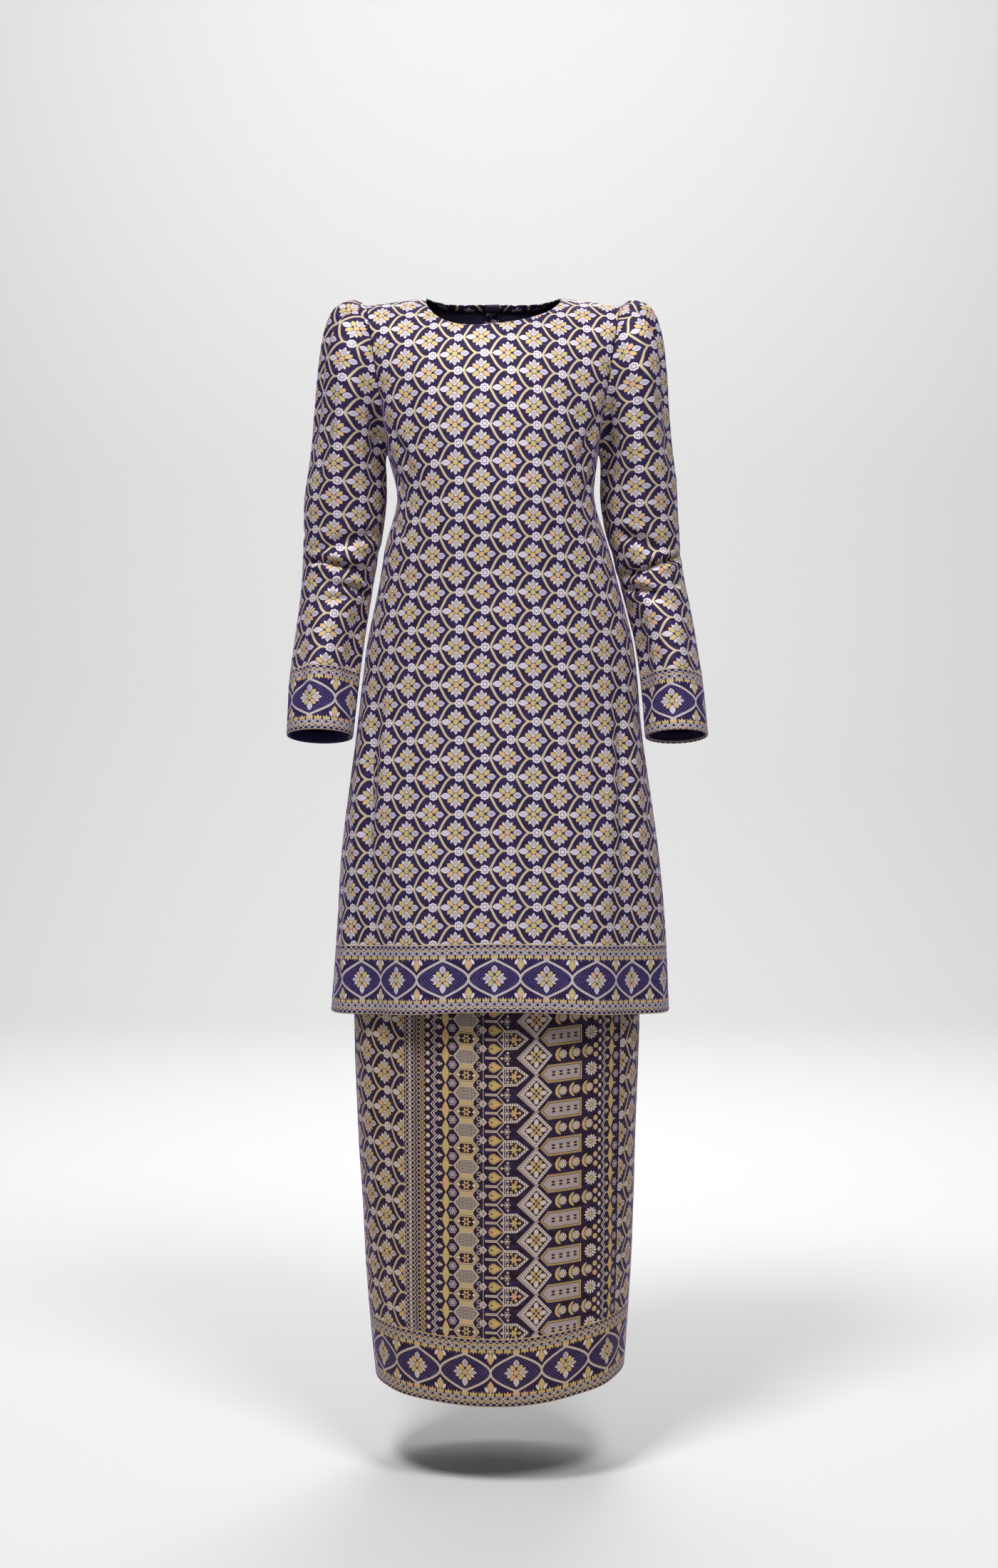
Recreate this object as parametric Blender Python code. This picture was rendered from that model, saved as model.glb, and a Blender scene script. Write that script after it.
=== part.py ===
"""A worn baju kurung set: a tunic with puffed sleeve heads over a long straight skirt.

Metres, +Z up. The front faces -Y and the wearer's left is +X. The origin lies midway between
the two shoulder points, where the wearer's shoulders carry the tunic. Each cut piece is one
object, a thin wall on an outer face that its sizes and tables give. Two pieces that are sewn
together are cut from the same outer face and stand SEAM_GAP apart.
"""

import math
from collections import namedtuple

import bmesh
import bpy
from mathutils import Vector

# Cloth
WALL = 0.0016  # songket cloth with its turnings, outer face to inner face
SEAM_GAP = 0.0003  # clear space between two pieces at a seam
ARMHOLE_GAP = 0.0004  # how far the sleeve head starts out from the armhole's line
SEAT_GAP = 0.0005  # tunic's inner face to skirt's outer face, where the tunic lies on the seat
SLOPE_STEPS = (0.01, 0.02)  # columns and rows over which an outer face's slope is taken
SHARP_ANGLE = 50  # degrees between two faces, above which their edge is shaded sharp

# Tunic: shoulders and neck
SHOULDER_HALF_WIDTH = 0.158
SHOULDER_DROP = 0.010  # shoulder point below the origin
NECK_HALF_WIDTH = 0.0845
NECK_RISE = -0.001  # where neckline and shoulder seam meet, against the origin
SHOULDER_FALL = 1.4  # above 1 the shoulder seam falls faster towards the shoulder point
NECK_SHARE = 0.5  # share of half a panel's top edge that the neckline takes
# The yoke is shaped as if it closed over the neck, on a ridge between the neck points
RIDGE_PULL = 1.12  # how far back each column heads as it arrives there, in column lengths
NECK_TILT = 0.34  # how far up it heads beside the neck, where the yoke is highest behind the seam
FRONT_RIDGE_RISE = 0.016  # the ridge's middle above the neck points
BACK_RIDGE_RISE = 0.026
RIDGE_SHAPE = 1.5  # above 1 that rise starts gently at the neck points
FRONT_NECK_REACH = 0.64  # where the neckline's middle cuts the column from armpits to ridge
BACK_NECK_REACH = 0.68
FRONT_NECK_SKEW = 0.12  # the front neckline hangs a little lower towards the right shoulder

# Tunic: armholes and hem
ARMPIT_HEIGHT = -0.195
ARMHOLE_FOOT_PULL = Vector((0.004, 0.150, 0.075))  # out, away from the side seam, up
ARMHOLE_PULL_START = 0.55  # share of the half panel from which that pull grows
CORE_TOP_HEIGHT = -0.12  # the yoke's cloth faces away from this point on the body's axis
TUNIC_HEM_HEIGHT = -0.8965
TUNIC_FRONT_HEM_LIFT = 0.0165
TUNIC_BACK_HEM_LIFT = 0.006
HEM_LIFT_SHAPE = 1.3  # above 1 the lift gathers towards the middle of the panel

# Skirt
WAIST_TOP_HEIGHT = -0.335
WAISTBAND_HEIGHT = 0.032
SKIRT_HEM_HEIGHT = -1.360
SKIRT_LEFT_HEM_LIFT = 0.012
SKIRT_FRONT_HEM_DROP = 0.010
SEAT_HEIGHT = -0.540
SKIRT_LENGTH = WAIST_TOP_HEIGHT - SKIRT_HEM_HEIGHT
SEAT_RISE = (SEAT_HEIGHT - SKIRT_HEM_HEIGHT) / SKIRT_LENGTH  # share of the skirt, from the hem
WAISTBAND_FOOT = 1 - WAISTBAND_HEIGHT / SKIRT_LENGTH

# Sleeves
BICEPS_HEIGHT = -0.225
CUFF_HEIGHT = -0.548
CUFF_BACK_SLOPE = -0.25  # the cuff hangs lower behind, because the forearm leans forward
CUFF_OUT_SLOPE = 0.02
FOREARM_TOP_HEIGHT = -0.300
HEAD_TOP_PULL = Vector((0.197, 0.0, 0.103))  # fullness of the sleeve head: out, back, up
HEAD_SIDE_PULL = Vector((0.030, 0.045, 0.0))
HEAD_FOOT_PULL = Vector((0.012, 0.0, -0.012))
ARM_TOP_FALL = Vector((0.060, 0.0, -0.340))  # how the head arrives at the biceps
ARM_FOOT_FALL = Vector((0.0, 0.0, -0.030))

# How finely each piece is divided
PANEL_COLUMNS = 28
BODY_ROWS = 14
BODY_EASE = 0.72  # below 1 the body's rows close up towards the armpits
YOKE_ROWS = 14
YOKE_EASE = 1.35  # above 1 the yoke's rows close up towards the shoulder
HEAD_ROWS = 9
HEAD_EASE = 1.25  # above 1 the head's rows close up towards the armhole
EVEN_ROW = 1.35  # sleeve row, past the biceps at 1, from which its columns are evenly spaced
SKIRT_COLUMNS = 22
LEG_ROWS = 7  # from the skirt's hem to the seat
HIP_ROWS = 3  # from the seat to the waistband

BUTTON_RADIUS = 0.0055
BUTTON_THICKNESS = 0.0046
BUTTON_BELOW_NECK = 0.007

# A ring round the body: sizes from the body's axis, and how far the axis leans to +X.
Level = namedtuple("Level", "height half_width front back squareness lean")

TUNIC_LEVELS = (
    Level(ARMPIT_HEIGHT, 0.1320, 0.1160, 0.0980, 2.35, -0.0005),
    Level(-0.250, 0.1238, 0.1200, 0.0950, 2.35, 0.0030),
    Level(-0.310, 0.1400, 0.1180, 0.0930, 2.25, 0.0045),
    Level(-0.360, 0.1510, 0.1170, 0.0960, 2.20, 0.0070),
    Level(-0.430, 0.1670, 0.1180, 0.1110, 2.15, 0.0085),
    Level(-0.480, 0.1735, 0.1200, 0.1210, 2.10, 0.0085),
    Level(SEAT_HEIGHT, 0.1795, 0.1230, 0.1260, 2.10, 0.0075),
    Level(-0.690, 0.2000, 0.1340, 0.1320, 2.05, 0.0085),
    Level(-0.790, 0.2080, 0.1420, 0.1380, 2.00, 0.0100),
    Level(-0.905, 0.2150, 0.1480, 0.1460, 2.00, 0.0085),
)

SKIRT_SEAT_DEPTH = dict((level.height, level.back) for level in TUNIC_LEVELS)[SEAT_HEIGHT]
SKIRT_SEAT_DEPTH -= WALL + SEAT_GAP

SKIRT_LEVELS = (
    Level(-0.335, 0.1220, 0.0880, 0.0800, 2.10, 0.0050),
    Level(-0.367, 0.1270, 0.0920, 0.0840, 2.10, 0.0050),
    Level(-0.430, 0.1530, 0.1060, 0.1040, 2.10, 0.0060),
    Level(SEAT_HEIGHT, 0.1725, 0.1160, SKIRT_SEAT_DEPTH, 2.10, 0.0060),
    Level(-0.700, 0.1800, 0.1190, 0.1200, 2.15, 0.0055),
    Level(-0.905, 0.1810, 0.1220, 0.1160, 2.20, 0.0045),
    Level(-1.057, 0.1760, 0.1250, 0.1150, 2.20, 0.0045),
    Level(-1.138, 0.1725, 0.1270, 0.1160, 2.20, 0.0060),
    Level(-1.219, 0.1690, 0.1290, 0.1180, 2.20, 0.0065),
    Level(-1.290, 0.1642, 0.1320, 0.1220, 2.20, 0.0070),
    Level(-1.360, 0.1582, 0.1350, 0.1270, 2.20, 0.0080),
)

# A soft upright fold: where it runs round the body (degrees, 0 at +X and -90 at the front), how
# far it stands out or, below 0, in at the hem, its half width in degrees, and where it starts.
Fold = namedtuple("Fold", "angle depth half_angle top")

TUNIC_FOLDS = (
    Fold(-127, 0.0080, 15, -0.52),
    Fold(-152, -0.0120, 15, -0.56),
    Fold(-50, 0.0070, 15, -0.54),
    Fold(-26, -0.0095, 15, -0.58),
    Fold(-100, -0.0020, 12, -0.62),
    Fold(28, -0.0090, 15, -0.58),
    Fold(56, 0.0085, 15, -0.55),
    Fold(92, -0.0055, 16, -0.60),
    Fold(124, 0.0090, 15, -0.55),
    Fold(151, -0.0110, 15, -0.57),
)

SKIRT_FOLDS = (
    Fold(-140, 0.0025, 16, -0.95),
    Fold(-36, 0.0030, 16, -0.95),
    Fold(40, 0.0035, 18, -0.95),
    Fold(140, 0.0035, 18, -0.95),
)

# A ring round each arm: inner and outer edge from the origin's plane for both sleeves, how far
# its middle lies behind the shoulder points, and half its depth from front to back.
ArmLevel = namedtuple(
    "ArmLevel", "height right_inner right_outer left_inner left_outer back half_depth"
)

ARM_LEVELS = (
    ArmLevel(BICEPS_HEIGHT, 0.1345, 0.2350, 0.1350, 0.2310, 0.012, 0.0560),
    ArmLevel(-0.251, 0.1345, 0.2385, 0.1350, 0.2322, 0.013, 0.0560),
    ArmLevel(-0.287, 0.1385, 0.2394, 0.1405, 0.2345, 0.014, 0.0545),
    ArmLevel(-0.323, 0.1450, 0.2403, 0.1505, 0.2370, 0.014, 0.0520),
    ArmLevel(-0.359, 0.1515, 0.2425, 0.1605, 0.2430, 0.010, 0.0500),
    ArmLevel(-0.395, 0.1572, 0.2460, 0.1697, 0.2502, 0.004, 0.0480),
    ArmLevel(-0.431, 0.1625, 0.2507, 0.1785, 0.2560, -0.004, 0.0465),
    ArmLevel(-0.485, 0.1690, 0.2565, 0.1855, 0.2637, -0.017, 0.0445),
    ArmLevel(CUFF_HEIGHT, 0.1755, 0.2588, 0.1900, 0.2691, -0.032, 0.0430),
)

ARM_ROW_HEIGHTS = (
    -0.251, -0.277, -0.295, -0.307, -0.319, -0.331, -0.343, -0.355, -0.367, -0.380,
    -0.396, -0.420, -0.450, -0.482, -0.515, CUFF_HEIGHT,
)  # fmt: skip

# A soft pleat of the sleeve head: where it runs round the arm (degrees, 0 at the outer side and
# 90 at the front), how much fuller or slacker it makes the head, and its half width.
Pleat = namedtuple("Pleat", "angle fullness half_angle")

HEAD_PLEATS = (
    Pleat(4, 0.11, 11),
    Pleat(23, -0.26, 11),
    Pleat(41, 0.10, 11),
    Pleat(58, -0.08, 11),
    Pleat(-13, -0.12, 9),
    Pleat(-30, 0.12, 11),
    Pleat(-48, -0.16, 11),
    Pleat(-66, 0.05, 11),
)

# A crease across the bent elbow: its height and place round the arm, how far it goes in, its
# half height and half width, and how much it climbs for each radian round the arm.
Crease = namedtuple("Crease", "height angle depth half_height half_angle climb")

ELBOW_CREASES = (
    Crease(-0.309, 85, 0.0055, 0.016, 75, 0.014),
    Crease(-0.344, 125, 0.0065, 0.015, 70, -0.010),
    Crease(-0.378, 95, 0.0045, 0.016, 60, 0.012),
    Crease(-0.326, 215, 0.0045, 0.016, 55, -0.012),
)

RIGHT, LEFT = -1, 1
FRONT, BACK = -1, 1

# Name, colour (linear), roughness and metallic value
SONGKET = ("songket_cloth", (0.060, 0.045, 0.135), 0.45, 0.15)
KEPALA = ("songket_skirt_cloth", (0.090, 0.075, 0.120), 0.45, 0.20)
BAND = ("waistband_cloth", (0.022, 0.016, 0.050), 0.70, 0.0)
BUTTON = ("covered_button", (0.045, 0.032, 0.100), 0.50, 0.05)


def clear_scene():
    for item in list(bpy.data.objects):
        bpy.data.objects.remove(item)


def at_height(levels, height):
    """A table's sizes at a height, on a smooth curve through its rows and level past its ends."""
    if height >= levels[0].height:
        return levels[0]
    if height <= levels[-1].height:
        return levels[-1]
    upper = next(i for i in range(len(levels) - 1) if height >= levels[i + 1].height)

    def slope(i, column):
        low, high = max(i - 1, 0), min(i + 1, len(levels) - 1)
        rise = levels[high][column] - levels[low][column]
        return rise / (levels[high].height - levels[low].height)

    first, second = levels[upper], levels[upper + 1]
    span = second.height - first.height
    share = (height - first.height) / span
    sizes = [
        hermite(first[c], slope(upper, c) * span, second[c], slope(upper + 1, c) * span, share)
        for c in range(len(first))
    ]
    return type(first)(*sizes)


def hermite(start, start_pull, end, end_pull, share):
    """A smooth curve between two ends, which leaves and arrives along the two pulls."""
    square, cube = share**2, share**3
    return (
        start * (2 * cube - 3 * square + 1)
        + start_pull * (cube - 2 * square + share)
        + end * (3 * square - 2 * cube)
        + end_pull * (cube - square)
    )


def eased(low, high, value):
    """0 up to low and 1 from high on, with a smooth climb between."""
    share = min(max((value - low) / (high - low), 0.0), 1.0)
    return share * share * (3 - 2 * share)


def bell(distance, half_width):
    """1 in the middle, falling smoothly to 0 at the half width."""
    if abs(distance) >= half_width:
        return 0.0
    return math.cos(distance / half_width * math.pi / 2) ** 2


def turn_between(angle, other):
    """The shorter turn from one direction to another, in degrees."""
    return (angle - other + 180) % 360 - 180


def fold_reach(folds, angle, height, hem):
    """How far all folds together move the cloth outwards at a place."""
    degrees = math.degrees(angle)
    return sum(
        fold.depth
        * bell(turn_between(degrees, fold.angle), fold.half_angle)
        * eased(-fold.top, -hem, -height)
        for fold in folds
    )


def ring_point(levels, folds, hem, angle, height):
    """A point on a garment's outer face; angle 0 is at +X and a quarter turn back at the front."""
    size = at_height(levels, height)
    across, along = math.cos(angle), math.sin(angle)
    depth = size.front if along < 0 else size.back
    power = size.squareness
    radius = (abs(across / size.half_width) ** power + abs(along / depth) ** power) ** (-1 / power)
    radius += fold_reach(folds, angle, height, hem)
    return Vector((size.lean + radius * across, radius * along, height))


def panel_angle(face, across):
    """The direction of a column: across runs from -1 at the right seam to 1 at the left one."""
    return face * (math.pi / 2) * (1 - across)


# Tunic


def tunic_ring(angle, height):
    return ring_point(TUNIC_LEVELS, TUNIC_FOLDS, TUNIC_HEM_HEIGHT, angle, height)


def tunic_hem(angle):
    """The hem is lifted in front, and a little behind, against its height at the side seams."""
    lift = TUNIC_FRONT_HEM_LIFT if math.sin(angle) < 0 else TUNIC_BACK_HEM_LIFT
    return TUNIC_HEM_HEIGHT + lift * abs(math.sin(angle)) ** HEM_LIFT_SHAPE


def tunic_body_point(face, across, rise):
    """Below the armpits: rise is 0 at the hem and 1 at the armpits."""
    angle = panel_angle(face, across)
    hem = tunic_hem(angle)
    return tunic_ring(angle, hem + (ARMPIT_HEIGHT - hem) * rise)


def yoke_ridge(face, across):
    """The shoulder seam, and between the neck points the line on which the yoke would close."""
    part = abs(across)
    if part < NECK_SHARE:
        middle = FRONT_RIDGE_RISE if face == FRONT else BACK_RIDGE_RISE
        rise = middle * math.cos(part / NECK_SHARE * math.pi / 2) ** RIDGE_SHAPE
        return Vector((NECK_HALF_WIDTH * across / NECK_SHARE, 0, NECK_RISE + rise))
    seam = (part - NECK_SHARE) / (1 - NECK_SHARE)
    x = NECK_HALF_WIDTH + (SHOULDER_HALF_WIDTH - NECK_HALF_WIDTH) * seam
    fall = (NECK_RISE + SHOULDER_DROP) * seam**SHOULDER_FALL
    return Vector((math.copysign(x, across), 0, NECK_RISE - fall))


def closed_yoke_point(face, across, reach):
    """The yoke as if it closed over the neck: reach is 0 at the armpits and 1 on the ridge."""
    foot = tunic_body_point(face, across, 1.0)
    below = tunic_body_point(face, across, 1.0 - SLOPE_STEPS[1])
    ridge = yoke_ridge(face, across)
    length = (ridge - foot).length
    upward = (foot - below).normalized() * length
    out, away, up = ARMHOLE_FOOT_PULL
    armhole = Vector((math.copysign(out, across), face * away, up))
    foot_pull = upward.lerp(armhole, eased(ARMHOLE_PULL_START, 1.0, abs(across)))
    tilt = NECK_TILT * (1 - eased(NECK_SHARE, 1, abs(across)))
    ridge_pull = -face * length * Vector((0, RIDGE_PULL, tilt))
    return hermite(foot, foot_pull, ridge, ridge_pull, reach)


def yoke_top(face, across):
    """Where a column ends, on the shoulder seam or the neckline: its place across, its reach."""
    if abs(across) >= NECK_SHARE:
        return across, 1.0
    turn = across / NECK_SHARE * math.pi / 2
    middle, skew = (FRONT_NECK_REACH, FRONT_NECK_SKEW) if face == FRONT else (BACK_NECK_REACH, 0)
    cut = (1 - middle) * math.cos(turn) * (1 - skew * math.sin(turn))
    return NECK_SHARE * math.sin(turn), 1 - cut


def tunic_yoke_point(face, across, rise):
    """Above the armpits: rise is 0 at the armpits and 1 at the shoulder seam or neckline."""
    across = min(max(across, -1.0), 1.0)
    end, reach = yoke_top(face, across)
    return closed_yoke_point(face, across + (end - across) * rise**2, reach * rise)


def yoke_rises():
    """Where the yoke's rows lie, closer together towards the shoulder."""
    return [1 - (1 - k / YOKE_ROWS) ** YOKE_EASE for k in range(YOKE_ROWS + 1)]


def tunic_point(face, across, rise):
    """The whole panel: rise is -1 at the hem, 0 at the armpits and 1 at the top edge."""
    if rise <= 0:
        return tunic_body_point(face, across, rise + 1)
    return tunic_yoke_point(face, across, rise)


def tunic_rows():
    return [(k / BODY_ROWS) ** BODY_EASE - 1 for k in range(BODY_ROWS)] + yoke_rises()


def make_tunic_panel(name, face, first, last, cloth):
    """A panel from one share across the body to another."""

    def place(across, rise):
        return tunic_point(face, across, rise)

    def core(point):
        return Vector((0, 0, min(point.z, CORE_TOP_HEIGHT)))

    count = round(PANEL_COLUMNS * abs(last - first) / 2)
    columns = [first + (last - first) * k / count for k in range(count + 1)]
    return make_wall(name, place, columns, tunic_rows(), False, core, cloth)


# Sleeves


def armhole_points(side):
    """The armhole's points, from the shoulder point down the front and up the back."""
    rises = yoke_rises()
    front = [tunic_yoke_point(FRONT, side, rise) for rise in reversed(rises)]
    back = [tunic_yoke_point(BACK, side, rise) for rise in rises[1:-1]]
    return front + back


def shares_along(points):
    """How far round the closed line each point lies, from 0 to 1."""
    steps = [(b - a).length for a, b in zip(points, points[1:] + points[:1])]
    shares = [0.0]
    for step in steps[:-1]:
        shares.append(shares[-1] + step)
    return [share / sum(steps) for share in shares]


def crease_reach(turn, height):
    """How far the elbow's creases move the cloth inwards at a place."""
    degrees = math.degrees(turn)
    reach = 0.0
    for crease in ELBOW_CREASES:
        off = turn_between(degrees, crease.angle)
        middle = crease.height + crease.climb * math.radians(off)
        reach += (
            crease.depth
            * bell(off, crease.half_angle)
            * bell(height - middle, crease.half_height)
        )
    return reach


def arm_point(side, turn, height):
    """A point of the sleeve below the biceps; turn 0 is at the outer side, a quarter in front."""
    size = at_height(ARM_LEVELS, height)
    inner = size.left_inner if side == LEFT else size.right_inner
    outer = size.left_outer if side == LEFT else size.right_outer
    reach = 1 - crease_reach(turn, height) / size.half_depth
    out = (outer - inner) / 2 * math.cos(turn) * reach
    back = -size.half_depth * math.sin(turn) * reach
    lean = eased(-FOREARM_TOP_HEIGHT, -CUFF_HEIGHT, -height)
    drop = lean * (CUFF_BACK_SLOPE * back + CUFF_OUT_SLOPE * out)
    return Vector((side * ((outer + inner) / 2 + out), size.back + back, height + drop))


def head_fullness(turn):
    """The pleats make the sleeve head fuller and slacker in turn."""
    degrees = math.degrees(turn)
    return 1 + sum(
        pleat.fullness * bell(turn_between(degrees, pleat.angle), pleat.half_angle)
        for pleat in HEAD_PLEATS
    )


def head_point(side, start, turn, share):
    """A point of the sleeve head, from the armhole (share 0) to the biceps (share 1)."""
    upper = math.cos(turn / 2) ** 2
    flank = math.sin(turn)
    pull = HEAD_TOP_PULL * upper * head_fullness(turn) + HEAD_FOOT_PULL * (1 - upper)
    pull += Vector((HEAD_SIDE_PULL.x * abs(flank), -HEAD_SIDE_PULL.y * flank, 0))
    pull.x *= side
    fall = ARM_TOP_FALL * upper + ARM_FOOT_FALL * (1 - upper)
    fall.x *= side
    return hermite(start, pull, arm_point(side, turn, BICEPS_HEIGHT), fall, share)


def make_sleeve(name, side, cloth):
    edge = armhole_points(side)
    count = len(edge)
    shares = shares_along(edge)

    def place(column, row):
        """Columns run round the sleeve, rows down it; row 1 is at the biceps."""
        whole = math.floor(column)
        part = column - whole
        first, second = whole % count, (whole + 1) % count
        start = edge[first].lerp(edge[second], part)
        shift = shares[second] - shares[first] + (1 if second == 0 else 0)
        armhole_turn = 2 * math.pi * (shares[first] + shift * part)
        if row <= 1:
            return head_point(side, start, armhole_turn, max(row, 0.0))
        height = BICEPS_HEIGHT + (CUFF_HEIGHT - BICEPS_HEIGHT) * (min(row, 2.0) - 1)
        even_turn = 2 * math.pi * (first + part) / count
        evenness = eased(1.0, EVEN_ROW, row)
        turn = armhole_turn + (even_turn - armhole_turn) * evenness
        return arm_point(side, turn, height)

    def row_of(height):
        return 1 + (height - BICEPS_HEIGHT) / (CUFF_HEIGHT - BICEPS_HEIGHT)

    rows = [(k / HEAD_ROWS) ** HEAD_EASE for k in range(HEAD_ROWS + 1)]
    rows += [row_of(height) for height in ARM_ROW_HEIGHTS]
    columns = list(range(count))
    return make_wall(name, place, columns, rows, True, None, cloth, ARMHOLE_GAP)


# Skirt


def skirt_hem(angle):
    """The hem stands a little higher over the left side and hangs a little lower in front."""
    lift = SKIRT_LEFT_HEM_LIFT * max(0.0, math.cos(angle)) ** 2
    return SKIRT_HEM_HEIGHT + lift - SKIRT_FRONT_HEM_DROP * max(0.0, -math.sin(angle)) ** 2


def skirt_point(face, across, rise):
    """Rise is 0 at the hem and 1 at the top of the waistband."""
    angle = panel_angle(face, across)
    hem = skirt_hem(angle)
    height = hem + (WAIST_TOP_HEIGHT - hem) * min(max(rise, 0.0), 1.0)
    return ring_point(SKIRT_LEVELS, SKIRT_FOLDS, SKIRT_HEM_HEIGHT, angle, height)


def skirt_core(point):
    return Vector((0, 0, point.z))


def make_skirt_panel(name, face, cloth):
    def place(across, rise):
        return skirt_point(face, across, rise)

    rows = [SEAT_RISE * k / LEG_ROWS for k in range(LEG_ROWS)]
    rows += [SEAT_RISE + (WAISTBAND_FOOT - SEAT_RISE) * k / HIP_ROWS for k in range(HIP_ROWS + 1)]
    columns = [2 * k / SKIRT_COLUMNS - 1 for k in range(SKIRT_COLUMNS + 1)]
    return make_wall(name, place, columns, rows, False, skirt_core, cloth)


def make_waistband(name, cloth):
    """One closed band round the waist, an elastic casing, so it needs no fastening."""

    def place(across, rise):
        return skirt_point(FRONT, across, rise)

    columns = [2 * k / SKIRT_COLUMNS - 1 for k in range(2 * SKIRT_COLUMNS)]
    return make_wall(name, place, columns, [WAISTBAND_FOOT, 1.0], True, skirt_core, cloth)


# Small parts


def make_button(name, cloth):
    """A round covered button at the top of the centre-back slit, on the left half."""
    edge = tunic_yoke_point(BACK, 0.0, 1.0)
    upward = (edge - tunic_yoke_point(BACK, 0.0, 1.0 - SLOPE_STEPS[1])).normalized()
    outward = Vector((0, upward.z, -upward.y))
    spot = edge - upward * BUTTON_BELOW_NECK + Vector((BUTTON_RADIUS, 0, 0))
    spot += outward * (BUTTON_THICKNESS / 2 + SEAM_GAP)
    bpy.ops.mesh.primitive_uv_sphere_add(
        segments=14, ring_count=8, radius=1.0, location=(0, 0, 0)
    )
    button = bpy.context.object
    button.name = name
    turn = outward.to_track_quat("Z", "Y")
    for vertex in button.data.vertices:
        x, y, z = vertex.co
        flat = Vector((x * BUTTON_RADIUS, y * BUTTON_RADIUS, z * BUTTON_THICKNESS / 2))
        vertex.co = turn @ flat
    button.location = spot
    finish(button, cloth)
    return button


# Walls and materials


def make_wall(name, place, columns, rows, closed, core, cloth, first_gap=SEAM_GAP / 2):
    """A cloth wall inwards from the outer face that place gives, as one closed body.

    A closed piece runs right round. The wall's inner side is found from the core, a point
    inside the garment, or from the middle of each row. Every edge is drawn in by half a seam
    gap, apart from the first row, which may be drawn in further.
    """
    outer = [[place(column, row) for column in columns] for row in rows]
    by_column, by_row = SLOPE_STEPS
    inner = []
    for points, row in zip(outer, rows):
        middle = sum(points, Vector()) / len(points)
        line = []
        for point, column in zip(points, columns):
            round_it = place(column + by_column, row) - place(column - by_column, row)
            along_it = place(column, row + by_row) - place(column, row - by_row)
            normal = round_it.cross(along_it).normalized()
            inside = core(point) if core else middle
            if normal.dot(point - inside) < 0:
                normal.negate()
            line.append(point - normal * WALL)
        inner.append(line)
    draw_in(outer, inner, closed, first_gap)

    body = bmesh.new()
    skins = [[[body.verts.new(point) for point in line] for line in skin] for skin in (outer, inner)]
    last_row, last_column = len(rows) - 1, len(columns) - 1
    spans = [(c, c + 1) for c in range(last_column)]
    if closed:
        spans.append((last_column, 0))
    for r in range(last_row):
        for c, d in spans:
            for skin in skins:
                body.faces.new((skin[r][c], skin[r][d], skin[r + 1][d], skin[r + 1][c]))
    near, far = skins
    for r in (0, last_row):
        for c, d in spans:
            body.faces.new((near[r][c], near[r][d], far[r][d], far[r][c]))
    if not closed:
        for c in (0, last_column):
            for r in range(last_row):
                body.faces.new((near[r][c], near[r + 1][c], far[r + 1][c], far[r][c]))
    bmesh.ops.recalc_face_normals(body, faces=body.faces)
    mesh = bpy.data.meshes.new(name)
    body.to_mesh(mesh)
    body.free()
    piece = bpy.data.objects.new(name, mesh)
    bpy.context.collection.objects.link(piece)
    finish(piece, cloth)
    return piece


def draw_in(outer, inner, closed, first_gap):
    """Moves the wall's edges a little towards the lines beside them, both faces alike."""
    for edge, beside, gap in ((0, 1, first_gap), (-1, -2, SEAM_GAP / 2)):
        for c, point in enumerate(outer[edge]):
            pull = (outer[beside][c] - point).normalized() * gap
            outer[edge][c] = point + pull
            inner[edge][c] = inner[edge][c] + pull
    if closed:
        return
    for near, far in zip(outer, inner):
        for edge, beside in ((0, 1), (-1, -2)):
            pull = (near[beside] - near[edge]).normalized() * SEAM_GAP / 2
            near[edge] = near[edge] + pull
            far[edge] = far[edge] + pull


def finish(piece, cloth):
    """Shading and the piece's own material."""
    name, colour, roughness, metallic = cloth
    material = bpy.data.materials.new(f"{piece.name}_{name}")
    material.use_nodes = True
    shader = material.node_tree.nodes["Principled BSDF"]
    shader.inputs["Base Color"].default_value = (*colour, 1.0)
    shader.inputs["Roughness"].default_value = roughness
    shader.inputs["Metallic"].default_value = metallic
    piece.data.materials.clear()
    piece.data.materials.append(material)
    piece.data.shade_smooth()
    piece.data.set_sharp_from_angle(angle=math.radians(SHARP_ANGLE))


def main():
    clear_scene()
    make_tunic_panel("tunic_front", FRONT, -1.0, 1.0, SONGKET)
    make_tunic_panel("tunic_back_right", BACK, -1.0, 0.0, SONGKET)
    make_tunic_panel("tunic_back_left", BACK, 0.0, 1.0, SONGKET)
    make_sleeve("sleeve_right", RIGHT, SONGKET)
    make_sleeve("sleeve_left", LEFT, SONGKET)
    make_skirt_panel("skirt_front", FRONT, KEPALA)
    make_skirt_panel("skirt_back", BACK, SONGKET)
    make_waistband("skirt_waistband", BAND)
    make_button("neck_button", BUTTON)


main()
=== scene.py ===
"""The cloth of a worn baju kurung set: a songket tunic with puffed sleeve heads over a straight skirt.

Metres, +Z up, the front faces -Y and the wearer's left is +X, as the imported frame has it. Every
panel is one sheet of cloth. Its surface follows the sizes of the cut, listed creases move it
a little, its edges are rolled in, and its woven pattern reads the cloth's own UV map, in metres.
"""

import math
from collections import namedtuple

import bpy
import numpy as np
from mathutils import Matrix, Vector


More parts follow.
